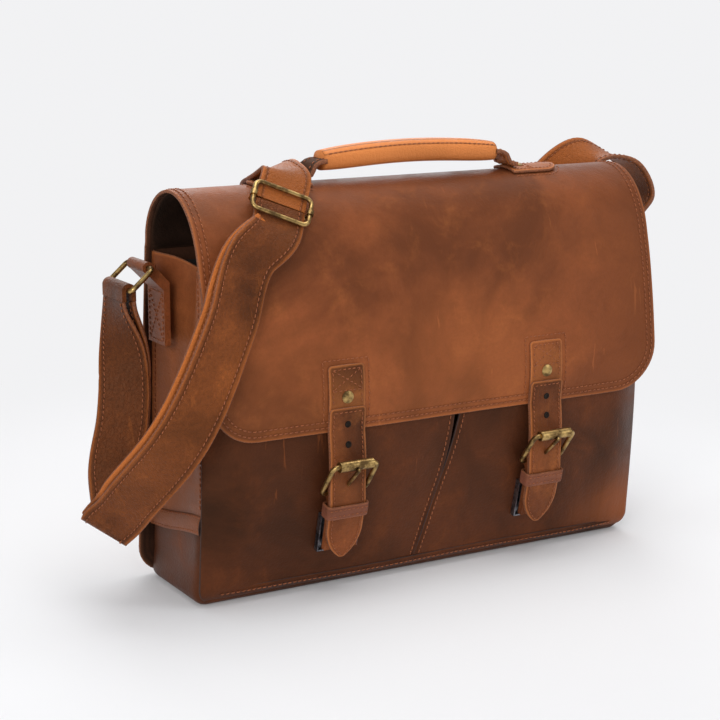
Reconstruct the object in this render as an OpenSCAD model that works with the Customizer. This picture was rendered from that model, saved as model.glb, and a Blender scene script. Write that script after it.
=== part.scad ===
// Leather messenger briefcase with a turn-over flap, two front pockets behind two roller-buckle
// closures, a top handle and an adjustable shoulder strap that lies over the bag.
// X runs to the bag's right as seen from the front, the front faces -Y and Z is up.
// The origin is at the centre of the base, on the surface that the bag stands on.

/* [Body] */
// Width across the side gussets
body_w = 400; // [330:5:480]
// Depth of the base from front to back
base_d = 96; // [80:1:130]
// Height at which the back panel folds over into the flap
fold_h = 262; // [218:1:315]
// How far the back panel leans forward at the fold
back_lean = 15; // [5:1:22]
// How far the front wall leans outward above the base
front_lean = 9; // [4:1:14]
// Thickness of the outer leather
leather_t = 2.4; // [1.8:0.1:3]
// Thickness of the lining
lining_t = 0.8; // [0.6:0.1:1.2]
// Width of the sewn flange of the back panel beyond each gusset
flange_w = 8; // [4:1:12]
// Inward bow of each side gusset
gusset_bow = 9; // [3:1:14]
// Height of the base panel's turned-up ends
end_h = 65; // [45:1:85]
// Radius along the edges of the base
base_r = 9; // [6:1:12]
// Thickness of the padded divider
divider_t = 6; // [4:1:9]
// Thickness of the stiffening board in the base
board_t = 2; // [1.5:0.5:3]

/* [Pockets] */
// Height of the pockets' top edge
pocket_h = 186; // [160:1:205]
// How far each pocket front stands out from the front wall
pocket_bulge = 16; // [12:1:20]
// Width of the slit between the two pocket fronts
slit_w = 4; // [3:0.5:8]
// Height of the slit's lower end, where the two fronts are sewn together
slit_low = 76; // [50:1:100]
// How far the slit and the seam below it lean to the right, for each millimetre of height
slit_lean = 0.3; // [0:0.05:0.4]

/* [Flap] */
// Width of the flap
flap_w = 404; // [330:1:484]
// Rise of the flap's arch above the fold
arch_rise = 50; // [40:1:60]
// Height of the flap's lower edge
hem_z = 132; // [122:1:150]
// Distance of the flap's lower edge in front of the origin
hem_out = 78; // [76:1:96]
// Radius of the flap's two lower corners
corner_r = 38; // [25:1:50]

/* [Handle] */
// Length of the grip between its ends
grip_l = 156; // [120:1:190]
// Width of the grip
grip_w = 24; // [20:1:30]
// Height of the grip
grip_h = 18; // [15:1:21]
// Free height under the grip's ends
grip_lift = 4; // [3:1:12]
// How far the middle of the grip arches above its ends
grip_arch = 4; // [2:1:10]
// Width of the leather ends that carry the grip
handle_strap_w = 22; // [16:1:28]
// Length of each sewn tab under the handle
tab_l = 46; // [36:1:60]
// Width of each sewn tab
tab_w = 28; // [24:1:34]

/* [Closures] */
// Distance of each closure from the middle
closure_x = 91; // [70:1:120]
// Width of the tongue
tongue_w = 31; // [25:1:38]
// Thickness of the tongue, two layers
tongue_t = 3.2; // [2.4:0.2:4]
// Height of the tongue's top end on the flap
tongue_top = 182; // [170:1:195]
// Length of the tongue's single-layer end, sewn and riveted to the flap
tongue_patch = 32; // [26:1:38]
// Length of the pointed tip below the catch's middle
tip_l = 19; // [17:1:26]
// Height of the buckle's heel bar
heel_z = 84; // [80:1:90]
// Distance between the buckle's heel bar and its roller bar
buckle_l = 31; // [28:1:36]
// Angle by which the buckle leans away from the bag
buckle_lean = 38; // [32:1:42]
// Diameter of the buckle's wire
buckle_wire = 4; // [3:0.2:5]
// Outside diameter of the roller
roller_d = 8; // [7:0.2:9.6]
// Diameter of the prong
prong_d = 3; // [2.4:0.1:3.4]
// Thickness of the strip that holds the buckle
holder_t = 2.2; // [1.6:0.1:2.6]
// Height of the keeper loop
keeper_h = 10; // [8:1:11]
// Height of the middle of the magnetic catch
catch_z = 52; // [48:1:56]
// Length of the catch tray
tray_l = 32; // [26:1:34]
// Depth of the catch tray
tray_d = 4.6; // [4.2:0.2:6]
// Diameter of the rivets' heads
rivet_head = 9.6; // [8:0.2:11]
// Diameter of the rivets' posts
rivet_post = 3.2; // [2.4:0.2:4]

/* [Shoulder strap] */
// Width of the shoulder strap
strap_w = 38; // [30:1:46]
// Thickness of the shoulder strap, two layers
strap_t = 3.2; // [2.4:0.2:4]
// Diameter of the rings' wire
ring_wire = 4; // [3:0.2:5]
// Distance between the two long bars of a ring
ring_reach = 23; // [20:1:28]
// Height of the rings' inner bar below the fold
ring_drop = 8; // [5:1:14]
// Distance of the rings' inner bar outside the gusset
ring_out = 15; // [12:1:20]
// Distance of the ring tab's middle from the body's middle, towards the back
ring_y = 12; // [6:1:14]
// Angle of the ring below the horizontal at rest
ring_hang = 41; // [30:1:60]
// Width of the leather tab that holds each ring
ring_tab_w = 30; // [24:1:36]
// Diameter of the slider's wire
slider_wire = 3.4; // [2.8:0.2:4]
// Outside size of the slider across its bars
slider_h = 27; // [24:1:32]

/* [Fits] */
// Gap between soft pieces that lie against each other
gap = 0.3; // [0.2:0.1:0.5]
// Radial clearance of bars that turn in loops and rollers
run = 0.06; // [0.03:0.01:0.1]

/* [Hidden] */
$fn = 48;

hide = "saddlebrown";
hide_dark = "#5b3220";
hide_edge = "chocolate";
cloth = "#2e2622";
antique = "darkgoldenrod";
steel = "slategray";

half_w = body_w / 2;
half_d = base_d / 2;

// Outer face of the back panel at a height
function back_y(z) = half_d - back_lean * z / fold_h;

// Outer face of the front wall at a height
wall_full_z = 150;
function wall_y(z) = -(half_d - 2 + front_lean * sin(90 * min(z / wall_full_z, 1)));

// Outer face of the pocket fronts, away from their side seams
bulge_full_z = 125;
function pocket_y(z) =
  wall_y(z) - gap - leather_t - pocket_bulge * sin(90 * min(max(z, 0) / bulge_full_z, 1));

// ---- Profiles and sheets ----

// Point i of a line, held at its ends
function held(pts, i) = pts[max(0, min(len(pts) - 1, i))];

// Unit normal to the left of a 2D line at its point i
function left_normal(pts, i) =
  let (d = held(pts, i + 1) - held(pts, i - 1)) [-d[1], d[0]] / norm(d);

// The line moved sideways to its left
function beside(pts, d) = [for (i = [0 : len(pts) - 1]) pts[i] + d * left_normal(pts, i)];

// Strip between two parallels of a line
module strip(pts, from, to) {
  near = beside(pts, from);
  far = beside(pts, to);
  polygon(concat(near, [for (i = [len(far) - 1 : -1 : 0]) far[i]]));
}

// Extrudes a profile drawn in the YZ plane along X
module along_x(x0, x1) {
  translate([x0, 0, 0]) rotate([90, 0, 90]) linear_extrude(x1 - x0) children();
}

// Extrudes an outline drawn in the XZ plane through the whole depth
module through_y() {
  depth = 4 * base_d;
  translate([0, depth / 2, 0]) rotate([90, 0, 0]) linear_extrude(depth) children();
}

// Closed sheet of even thickness under the surface f(u, v), with u and v from 0 to 1
module sheet(f, thick, nu, nv) {
  e = 0.002;
  at = function(u, v) let (
      a = f(min(u + e, 1), v) - f(max(u - e, 0), v),
      b = f(u, min(v + e, 1)) - f(u, max(v - e, 0)),
      n = cross(a, b)
    ) n / norm(n);
  outer = [for (i = [0 : nu]) for (j = [0 : nv]) f(i / nu, j / nv)];
  inner = [for (i = [0 : nu]) for (j = [0 : nv]) f(i / nu, j / nv) - thick * at(i / nu, j / nv)];
  row = nv + 1;
  half = row * (nu + 1);
  top = [for (i = [0 : nu - 1]) for (j = [0 : nv - 1]) let (k = i * row + j)
    each [[k, k + 1, k + row + 1], [k, k + row + 1, k + row]]];
  under = [for (t = top) [t[2] + half, t[1] + half, t[0] + half]];
  rim = concat(
    [for (i = [0 : nu]) i * row],
    [for (j = [1 : nv]) nu * row + j],
    [for (i = [nu - 1 : -1 : 0]) i * row + nv],
    [for (j = [nv - 1 : -1 : 1]) j]
  );
  n_rim = len(rim);
  side = [for (i = [0 : n_rim - 1]) let (p = rim[i], q = rim[(i + 1) % n_rim])
    each [[p, q, q + half], [p, q + half, p + half]]];
  polyhedron(concat(outer, inner), concat(top, under, side));
}

// Closed skin over a row of rings with the same number of points
module skin(rings) {
  n = len(rings[0]);
  last = len(rings) - 1;
  points = [for (r = rings) each r];
  walls = [for (i = [0 : last - 1]) for (j = [0 : n - 1])
    let (a = i * n + j, b = i * n + (j + 1) % n)
    each [[b + n, b, a], [a + n, b + n, a]]];
  first_cap = [for (j = [1 : n - 2]) [0, j, j + 1]];
  last_cap = [for (j = [1 : n - 2]) [last * n + j + 1, last * n + j, last * n]];
  polyhedron(points, concat(walls, first_cap, last_cap));
}

// Distance along a line up to each of its points
function runs(pts) = [
  for (i = 0, d = 0; i < len(pts); d = d + norm(held(pts, i + 1) - pts[i]), i = i + 1) d
];

// Rate of change of a list of values at its item i, at distances t
function rate(v, t, i) =
  i == 0 ? (v[1] - v[0]) / (t[1] - t[0])
  : i == len(v) - 1 ? (v[i] - v[i - 1]) / (t[i] - t[i - 1])
  : let (h = t[i] - t[i - 1], g = t[i + 1] - t[i])
    ((v[i + 1] - v[i]) / g * h + (v[i] - v[i - 1]) / h * g) / (h + g);

// Smooth curve through the values of a list at distances t, k steps to each span
function smooth(v, t, k) = concat(
  [for (i = [0 : len(v) - 2]) for (s = [0 : k - 1])
    let (q = s / k, h = t[i + 1] - t[i], a = h * rate(v, t, i), b = h * rate(v, t, i + 1))
    (2 * q * q * q - 3 * q * q + 1) * v[i] + (q * q * q - 2 * q * q + q) * a
    + (3 * q * q - 2 * q * q * q) * v[i + 1] + (q * q * q - q * q) * b],
  [v[len(v) - 1]]
);

// Flat strap through places, each [point, direction across the strap], shifted off its middle
module ribbon(places, width, thick, shift = 0, steps = 4) {
  points = [for (q = places) q[0]];
  p = smooth(points, runs(points), steps);
  w = smooth([for (q = places) q[1] / norm(q[1])], runs(points), steps);
  skin([for (i = [0 : len(p) - 1]) let (
      t = held(p, i + 1) - held(p, i - 1),
      side = (w[i] - t * (w[i] * t) / (t * t)),
      a = side / norm(side) * width / 2,
      n = cross(t, a),
      b = n / norm(n) * thick / 2,
      m = p[i] + shift * n / norm(n)
    ) [m - a - b, m + a - b, m + a + b, m - a + b]]);
}

// Ring of round wire: a rounded rectangle, x_size by y_size between its centre lines
module wire_frame(x_size, y_size, wire, bend) {
  sx = x_size / 2 - bend;
  sy = y_size / 2 - bend;
  for (s = [-1, 1]) {
    translate([-sx, s * y_size / 2, 0]) rotate([0, 90, 0]) cylinder(d = wire, h = 2 * sx);
    translate([s * x_size / 2, sy, 0]) rotate([90, 0, 0]) cylinder(d = wire, h = 2 * sy);
  }
  for (q = [0 : 3])
    translate([sx * (q == 0 || q == 3 ? 1 : -1), sy * (q < 2 ? 1 : -1), 0])
      rotate([0, 0, 90 * q]) rotate_extrude(angle = 90) translate([bend, 0]) circle(d = wire);
}

// ---- Body ----

back_top_gap = 0.3;
panel_foot = 3;
panel_low_w = half_w + flange_w;
panel_top_w = flap_w / 2;
back_corner_r = 22;

module back_panel() {
  color(hide) intersection() {
    along_x(-panel_low_w, panel_low_w) polygon([
      [back_y(panel_foot) - leather_t, panel_foot],
      [back_y(panel_foot), panel_foot],
      [back_y(fold_h - back_top_gap), fold_h - back_top_gap],
      [back_y(fold_h - back_top_gap) - leather_t, fold_h - back_top_gap]
    ]);
    through_y() union() {
      for (s = [-1, 1])
        translate([s * (panel_low_w - back_corner_r), panel_foot + back_corner_r]) circle(back_corner_r);
      translate([-panel_low_w + back_corner_r, panel_foot])
        square([2 * (panel_low_w - back_corner_r), back_corner_r]);
      polygon([
        [-panel_low_w, panel_foot + back_corner_r],
        [panel_low_w, panel_foot + back_corner_r],
        [panel_top_w, fold_h],
        [-panel_top_w, fold_h]
      ]);
    }
  }
}

gusset_top = fold_h - 6;
gusset_low = end_h;

// Outer face of the right gusset: it bows in between its seams and folds in at the mouth
function gusset_at(u, v) = let (
    z = gusset_low + v * (gusset_top - gusset_low),
    y0 = wall_y(z) + gap,
    y1 = back_y(z) - leather_t - gap,
    rise = sin(90 * min(v / 0.5, 1)),
    pinch = max(v - 0.8, 0) / 0.2
  ) [half_w - leather_t - gap - (gusset_bow * rise + 5 * pinch) * pow(sin(180 * u), 2), y0 + u * (y1 - y0), z];

module gusset() {
  sheet(function(u, v) gusset_at(u, v), leather_t, 12, 14);
}

module gusset_right() { color(hide) gusset(); }
module gusset_left() { color(hide) mirror([1, 0, 0]) gusset(); }

base_front = half_d - 2;
base_back = back_y(2 * base_r) - leather_t - gap;

// Rounded block that the base is cut from, drawn in by an inset; its walls lean as the bag's do
module base_block(inset) {
  r = base_r - inset;
  hull()
    for (x = [-1, 1]) {
      for (y = [-base_front + base_r, base_back - base_r])
        translate([x * (half_w - base_r), y, base_r]) sphere(r, $fn = 24);
      for (y = [wall_y(end_h) + base_r, back_y(end_h) - leather_t - gap - base_r])
        translate([x * (half_w - base_r), y, end_h]) cylinder(r = r, h = 0.5, $fn = 24);
    }
}

module base_panel() {
  front_lip = 8;
  color(hide_dark) difference() {
    base_block(0);
    base_block(leather_t);
    translate([-body_w, -base_d, end_h - 0.5]) cube([2 * body_w, 2 * base_d, 3 * end_h]);
    translate([-half_w + base_r, -base_d, front_lip])
      cube([body_w - 2 * base_r, 2 * base_d, 3 * end_h]);
  }
}

wall_low = 9;
wall_top = fold_h - 12;
wall_line = [for (k = [0 : 12]) let (z = wall_low + k / 12 * (wall_top - wall_low)) [wall_y(z), z]];
wall_half = half_w - base_r - gap;

module front_wall() {
  color(hide_dark) along_x(-wall_half, wall_half) strip(wall_line, -leather_t, 0);
}

seam_run = 36;
pocket_low = 9;

slit_flare = 20;
dip_w = 22;

// Middle line of the slit, which crosses the bag's middle where the slit ends
function slit_x(z) = slit_lean * (z - slit_low);

// Outer face of a pocket front, from the slit to the side seam
function pocket_at(u, v, side) = let (
    z = pocket_low + v * (pocket_h - pocket_low),
    open = min(max((z - slit_low) / slit_flare, 0), 1),
    x0 = slit_x(z) + side * (gap + open * (slit_w - gap)) / 2,
    x = x0 + u * (side * half_w - x0),
    edge = sin(90 * min((half_w - abs(x)) / seam_run, 1)),
    dip = 0.1 * exp(-pow((x - slit_x(z)) / dip_w, 2)),
    y = wall_y(z) - gap - leather_t
  ) [x, y + (pocket_y(z) - y) * (edge - dip), z];

// The left front's places are taken from its side seam, so that both have their outside in front
module pocket(side) {
  color(hide) sheet(function(u, v) pocket_at(side > 0 ? u : 1 - u, v, side), leather_t, 22, 12);
}

module pocket_right() { pocket(1); }
module pocket_left() { pocket(-1); }

// The lining is one sheet: down the back, across the base and up the front
lining_half = half_w - leather_t - gap - gusset_bow - leather_t - 8;
lining_low = leather_t + gap;
lining_line = concat(
  [[back_y(gusset_top) - leather_t - gap, gusset_top - 4], [back_y(30) - leather_t - gap, 30]],
  [for (a = [0 : 30 : 90]) [base_back - leather_t - 1 - 9 * (1 - cos(a)), lining_low + 10 - 10 * sin(a)]],
  [for (a = [90 : -30 : 0]) [-base_front + leather_t + 2 + 9 * (1 - cos(a)), lining_low + 10 - 10 * sin(a)]],
  [for (z = [30, 60, 90, 120, 150, wall_top - 4]) [wall_y(z) + leather_t + gap, z]]
);

module lining() {
  color(cloth) along_x(-lining_half, lining_half) strip(lining_line, -lining_t, 0);
}

board_low = lining_low + lining_t + gap;

module base_board() {
  color("#3a3430") translate([-lining_half, -base_front + 16, board_low])
    cube([2 * lining_half, base_front + base_back - 32, board_t]);
}

divider_low = board_low + board_t + gap;
divider_y = half_d / 4;
divider_top = fold_h - 40;

module divider() {
  color(cloth) translate([0, divider_y + divider_t / 2, 0]) rotate([90, 0, 0])
    linear_extrude(divider_t) union() {
      translate([-lining_half, divider_low]) square([2 * lining_half, divider_top - divider_low - 12]);
      translate([-lining_half + 12, divider_low]) square([2 * lining_half - 24, divider_top - divider_low]);
      for (s = [-1, 1]) translate([s * (lining_half - 12), divider_top - 12]) circle(12);
    }
}

// ---- Rings and their tabs ----

ring_z = fold_h - ring_drop;
ring_x = half_w + ring_out;
ring_inner = strap_w + 4;
ring_bend = ring_wire / 2 + 1.5;
tab_bore = ring_wire / 2 + run;
tab_outer = tab_bore + leather_t;
tab_drop = 60;

module ring() {
  translate([ring_x, ring_y, ring_z]) rotate([0, ring_hang, 0]) translate([ring_reach / 2, 0, 0])
    wire_frame(ring_reach, ring_inner + ring_wire, ring_wire, ring_bend);
}

module ring_right() { color(antique) ring(); }
module ring_left() { color(antique) mirror([1, 0, 0]) ring(); }

// Leather loop round the ring's inner bar, and the strip by which it is sewn to the gusset
module ring_tab() {
  foot = half_w - leather_t + 2 * gap;
  strip_t = 2 * leather_t;
  translate([0, ring_y + ring_tab_w / 2, 0]) rotate([90, 0, 0]) linear_extrude(ring_tab_w) difference() {
    union() {
      translate([ring_x, ring_z]) circle(tab_outer);
      polygon([
        [foot, ring_z - tab_drop],
        [foot + strip_t, ring_z - tab_drop],
        [foot + strip_t, ring_z - 18],
        [ring_x + tab_outer * cos(20), ring_z - tab_outer * sin(20)],
        [ring_x - tab_outer * sin(25), ring_z + tab_outer * cos(25)],
        [foot, ring_z - 12]
      ]);
    }
    translate([ring_x, ring_z]) circle(tab_bore);
  }
}

module ring_tab_right() { color(hide_dark) ring_tab(); }
module ring_tab_left() { color(hide_dark) mirror([1, 0, 0]) ring_tab(); }

// ---- Flap ----

crest_back_r = arch_rise - 4;
crest_y = back_y(fold_h) - 1 - crest_back_r;
crest_z = fold_h + arch_rise;

// Shape of the flap's front from the crest to the hem, in parts of its depth and height
flap_front = [
  [0, 1], [0.28, 0.978], [0.53, 0.908], [0.69, 0.815], [0.8, 0.68], [0.91, 0.5], [0.99, 0.32], [1.03, 0.15], [1, 0]
];
flap_places = concat(
  [[back_y(fold_h), fold_h], [back_y(fold_h), fold_h + 2]],
  [for (a = [0 : 15 : 75]) [crest_y + crest_back_r * cos(a), crest_z - crest_back_r + crest_back_r * sin(a)]],
  [for (q = flap_front) [crest_y - q[0] * (hem_out + crest_y), hem_z + q[1] * (crest_z - hem_z)]]
);

// Outer line of the flap in the YZ plane, from the fold, over the crest, down to the hem
flap_line = smooth(flap_places, runs(flap_places), 2);

// Outer face of the flap's front at a height
function flap_y(z) = lookup(z, [for (p = flap_line) if (p[0] < crest_y) [p[1], p[0]]]);

// Outline of the flap from the front, narrower by an inset
module flap_outline(inset) {
  w = flap_w / 2 - inset;
  r = corner_r - inset;
  low = hem_z + inset;
  for (s = [-1, 1]) translate([s * (w - r), low + r]) circle(r);
  translate([-w + r, low]) square([2 * (w - r), r]);
  translate([-w, low + r]) square([2 * w, crest_z]);
}

module flap_sheet(from, to, inset) {
  intersection() {
    along_x(-flap_w, flap_w) strip(flap_line, from, to);
    through_y() flap_outline(inset);
  }
}

module flap() {
  color(hide) difference() {
    flap_sheet(0, leather_t, 0);
    rivet_holes();
  }
}

module flap_lining() {
  color(cloth) difference() {
    flap_sheet(leather_t, leather_t + lining_t, 4);
    rivet_holes();
  }
}

// ---- Closures, drawn for the right side ----

tray_t = 1;
magnet_t = 2;
plate_t = 1.3;
plate_n = tray_t + magnet_t + 2 * gap;
holder_n = plate_n + plate_t;
tongue_n = holder_n + 2 * holder_t + gap;
catch_tilt = atan((pocket_y(catch_z - tray_l / 2) - pocket_y(catch_z + tray_l / 2)) / tray_l);

// Places its children on the pocket front at the catch: Y up the slope, Z away from the bag
module at_catch(side) {
  translate([side * closure_x, pocket_y(catch_z) - gap, catch_z]) rotate([90 + catch_tilt, 0, 0]) children();
}

// Point of the YZ plane that is s up the slope from the catch and n away from the bag
function catch_point(s, n) = [
  pocket_y(catch_z) - gap - s * sin(catch_tilt) - n * cos(catch_tilt),
  catch_z + s * cos(catch_tilt) - n * sin(catch_tilt)
];

tray_w = tongue_w + 4;

module catch_tray(side) {
  color(steel) at_catch(side) difference() {
    translate([-tray_w / 2, -tray_l / 2, 0]) cube([tray_w, tray_l, tray_d]);
    translate([-tray_w / 2 + tray_t, -tray_l / 2 + tray_t, tray_t]) cube([tray_w - 2 * tray_t, tray_l, tray_d]);
  }
}

magnet_w = 20;
magnet_l = 16;

module catch_magnet(side) {
  color("#1c1c1c") at_catch(side) translate([-magnet_w / 2, -magnet_l / 2, tray_t])
    cube([magnet_w, magnet_l, magnet_t]);
}

plate_w = tray_w - 2 * tray_t - 5;
plate_l = tray_l - 8;

module catch_plate(side) {
  color(steel) at_catch(side) translate([-plate_w / 2, -plate_l / 2, plate_n])
    cube([plate_w, plate_l, plate_t]);
}

heel_r = buckle_wire / 2;
wrap_r = heel_r + run + holder_t;
heel_y = pocket_y(heel_z) - 2 * gap - wrap_r;
roller_y = heel_y - buckle_l * sin(buckle_lean);
roller_z = heel_z + buckle_l * cos(buckle_lean);
prong_slot = prong_d + 4;
buckle_w = tongue_w + 3 + buckle_wire;
buckle_bend = 4.5;
holder_w = buckle_w - 2 * buckle_bend - 2 * gap;

// Strip that is folded round the heel bar and sewn to itself down to the catch plate
module buckle_holder(side) {
  low = catch_point(-tray_l / 2 + 3, holder_n + holder_t);
  high = catch_point(keeper_s + keeper_h / 2, holder_n + holder_t);
  bar = [heel_y, heel_z];
  line = [low, high, bar];
  color(hide_dark) translate([side * closure_x, 0, 0]) difference() {
    along_x(-holder_w / 2, holder_w / 2) difference() {
      union() {
        strip([low, high], -holder_t, holder_t);
        strip(line, -holder_t, holder_t);
        translate(bar) circle(wrap_r);
      }
      translate(bar) circle(heel_r + run);
    }
    translate([-prong_slot / 2, heel_y - 10, heel_z - 6]) cube([prong_slot, 20, 20]);
  }
}

// How far up the slope from the catch the keeper sits
keeper_s = tray_l / 2 + gap + keeper_h / 2;
tongue_back_y = heel_y - wrap_r - gap;
tip_r = tongue_w;

// Back line of the tongue in the YZ plane, from its top end on the flap to its tip
tongue_places = [
  [flap_y(hem_z), hem_z],
  [(flap_y(hem_z) + tongue_back_y) / 2 - 0.5, (hem_z + roller_z) / 2 + 4],
  [tongue_back_y - 1, roller_z],
  [tongue_back_y, heel_z],
  catch_point(keeper_s + keeper_h / 2 + 1, tongue_n),
  catch_point(keeper_s, tongue_n),
  catch_point(0, tongue_n),
  catch_point(-tip_l, tongue_n)
];
tongue_line = concat(
  [[flap_y(tongue_top), tongue_top]],
  [for (p = flap_line) if (p[0] < crest_y && p[1] < tongue_top - 1 && p[1] > hem_z + 1) p],
  smooth(tongue_places, runs(tongue_places), 3)
);
tip_z = tongue_line[len(tongue_line) - 1][1];

module tongue_outline() {
  intersection() {
    translate([-tongue_w / 2, tip_z]) square([tongue_w, tongue_top - tip_z + 20]);
    union() {
      translate([-tongue_w / 2, tip_z + tip_r * 0.82]) square([tongue_w, tongue_top]);
      intersection_for (s = [-1, 1])
        translate([s * tongue_w / 2, tip_z + tip_r * 0.82]) circle(tip_r);
    }
  }
}

hole_d = 4;
hole_step = 16;
prong_touch = roller_d / 2 + prong_d / 2 + 0.05;
prong_turn = asin(prong_touch / buckle_l);
// Where the prong passes through the tongue, and how far the slot runs for the buckle's play
prong_hole_z = heel_z + (wrap_r + gap + tongue_t / 2) / tan(buckle_lean + prong_turn) + 1.2;
prong_play = 3.4;

module tongue(side) {
  layer = tongue_t / 2;
  color(hide_dark) translate([side * closure_x, 0, 0]) difference() {
    intersection() {
      union() {
        along_x(-tongue_w / 2, tongue_w / 2) strip(tongue_line, -layer, 0);
        intersection() {
          along_x(-tongue_w / 2, tongue_w / 2) strip(tongue_line, -tongue_t, -layer);
          translate([-tongue_w, -2 * base_d, 0])
            cube([2 * tongue_w, 2 * base_d, tongue_top - tongue_patch]);
        }
      }
      through_y() tongue_outline();
    }
    translate([0, -base_d, prong_hole_z]) rotate([-90, 0, 0]) linear_extrude(2 * base_d)
      hull() for (s = [-1, 1]) translate([0, s * prong_play]) circle(d = hole_d);
    for (k = [1, 2])
      translate([0, -base_d, prong_hole_z + 4 + k * hole_step]) rotate([-90, 0, 0])
        cylinder(d = hole_d, h = 2 * base_d, $fn = 24);
    tongue_rivet_place() translate([0, 0, -20]) cylinder(d = rivet_post, h = 40, $fn = 24);
  }
}

rivet_z = tongue_top - tongue_patch + 8;
rivet_tilt = atan((flap_y(rivet_z + 4) - flap_y(rivet_z - 4)) / 8);

// Places its children on the flap's outer face at the rivet, Z away from the bag
module tongue_rivet_place() {
  translate([0, flap_y(rivet_z), rivet_z]) rotate([90 - rivet_tilt, 0, 0]) children();
}

// Domed head, post and back washer of a rivet through a stack of leather
module rivet(stack_out, stack_in) {
  head_h = 1.6;
  translate([0, 0, stack_out]) intersection() {
    cylinder(d = rivet_head, h = head_h);
    translate([0, 0, head_h - 10]) sphere(10);
  }
  translate([0, 0, -stack_in]) cylinder(d = rivet_post, h = stack_in + stack_out, $fn = 24);
  translate([0, 0, -stack_in - 1]) cylinder(d = rivet_head - 2, h = 1);
}

module tongue_rivet(side) {
  color(antique) translate([side * closure_x, 0, 0]) tongue_rivet_place()
    rivet(tongue_t / 2 + 0.1, leather_t + lining_t + 0.1);
}

module keeper(side) {
  wall = 2;
  inner_w = tongue_w + 1;
  low = holder_n - gap;
  high = tongue_n + tongue_t + gap;
  color("#7a4034") at_catch(side) translate([0, keeper_s, 0]) difference() {
    translate([-inner_w / 2 - wall, -keeper_h / 2, low - wall])
      cube([inner_w + 2 * wall, keeper_h, high - low + 2 * wall]);
    translate([-inner_w / 2, -keeper_h, low]) cube([inner_w, 2 * keeper_h, high - low]);
  }
}

module buckle(side) {
  color(antique) translate([side * closure_x, heel_y, heel_z]) rotate([90 + buckle_lean, 0, 0])
    translate([0, buckle_l / 2, 0]) wire_frame(buckle_w, buckle_l, buckle_wire, buckle_bend);
}

module roller(side) {
  roller_l = buckle_w - 2 * buckle_bend - 0.4;
  color(antique) translate([side * closure_x - roller_l / 2, roller_y, roller_z]) rotate([0, 90, 0])
    difference() {
      cylinder(d = roller_d, h = roller_l);
      translate([0, 0, -1]) cylinder(r = heel_r + run, h = roller_l + 2);
    }
}

prong_l = buckle_l + 1.5;

module prong(side) {
  eye_w = prong_slot - 1.6;
  eye_r = heel_r + run + 1.6;
  color(antique) translate([side * closure_x, heel_y, heel_z]) rotate([90 + buckle_lean + prong_turn, 0, 0]) {
    difference() {
      union() {
        translate([-eye_w / 2, 0, 0]) rotate([0, 90, 0]) cylinder(r = eye_r, h = eye_w);
        rotate([-90, 0, 0]) cylinder(d = prong_d, h = prong_l);
        translate([0, prong_l, 0]) sphere(d = prong_d);
      }
      translate([-eye_w, 0, 0]) rotate([0, 90, 0]) cylinder(r = heel_r + run, h = 2 * eye_w);
    }
  }
}

// ---- Handle ----

handle_y = crest_y - 2;
tab_in = grip_l / 2 + 14;
tab_out = tab_in + tab_l;
tab_rivet_x = tab_in + 12;

module handle_tab(side) {
  color(hide_dark) difference() {
    intersection() {
      along_x(-flap_w / 2, flap_w / 2) strip(flap_line, -leather_t, 0);
      translate([0, handle_y, crest_z - 30]) linear_extrude(60) union() {
        translate([side * (tab_out - tab_w / 2), 0]) circle(d = tab_w);
        translate([side > 0 ? tab_in : -tab_out + tab_w / 2, -tab_w / 2]) square([tab_l - tab_w / 2, tab_w]);
      }
    }
    rivet_holes();
  }
}

module rivet_holes() {
  for (s = [-1, 1]) {
    translate([s * closure_x, 0, 0]) tongue_rivet_place() translate([0, 0, -20])
      cylinder(d = rivet_post, h = 40, $fn = 24);
    translate([s * tab_rivet_x, handle_y, crest_z - 20]) cylinder(d = rivet_post, h = 40, $fn = 24);
  }
}

module handle_rivets() {
  color(antique) for (s = [-1, 1])
    translate([s * tab_rivet_x, handle_y, crest_z]) rivet(leather_t + 0.1, leather_t + lining_t + 0.6);
}

grip_base_z = crest_z + leather_t + grip_lift + grip_h / 2;

// Height of the grip's middle line along X
function grip_z(x) = grip_base_z + grip_arch * cos(90 * x / (grip_l / 2));

module handle_grip() {
  sides = 12;
  stations = 14;
  color(hide_edge) skin([for (i = [0 : stations]) let (
      x = -grip_l / 2 + i / stations * grip_l,
      end = abs(2 * i / stations - 1),
      taper = 1 - 0.12 * pow(end, 6)
    ) [for (k = [0 : sides - 1]) let (a = 360 * (k + 0.5) / sides)
      [x, handle_y + taper * grip_w / 2 * sign(cos(a)) * pow(abs(cos(a)), 0.8),
       grip_z(x) + taper * grip_h / 2 * sign(sin(a)) * pow(abs(sin(a)), 0.8)]]]);
}

handle_end_t = 3.4;

// Leather end that leaves the grip and folds down to the tab
module handle_end(side) {
  foot_z = crest_z + leather_t + gap + handle_end_t / 2;
  across = [0, side, 0];
  color(hide_edge) ribbon([
    [[side * (grip_l / 2 + gap), handle_y, grip_z(grip_l / 2)], across],
    [[side * (grip_l / 2 + 3), handle_y, grip_z(grip_l / 2)], across],
    [[side * (grip_l / 2 + 9), handle_y, grip_z(grip_l / 2) - 2.5], across],
    [[side * (tab_in - 1), handle_y, foot_z + 1.5], across],
    [[side * (tab_in + 6), handle_y, foot_z], across]
  ], handle_strap_w, handle_end_t);
}

// ---- Shoulder strap ----

// Middle of the ring's outer bar, on the right
loop_x = ring_x + ring_reach * cos(ring_hang);
loop_z = ring_z - ring_reach * sin(ring_hang);
loop_in = ring_wire / 2 + gap;
loop_out = loop_in + strap_t;
loop_mid = (loop_in + loop_out) / 2;
loop_leg = 8;

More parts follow.
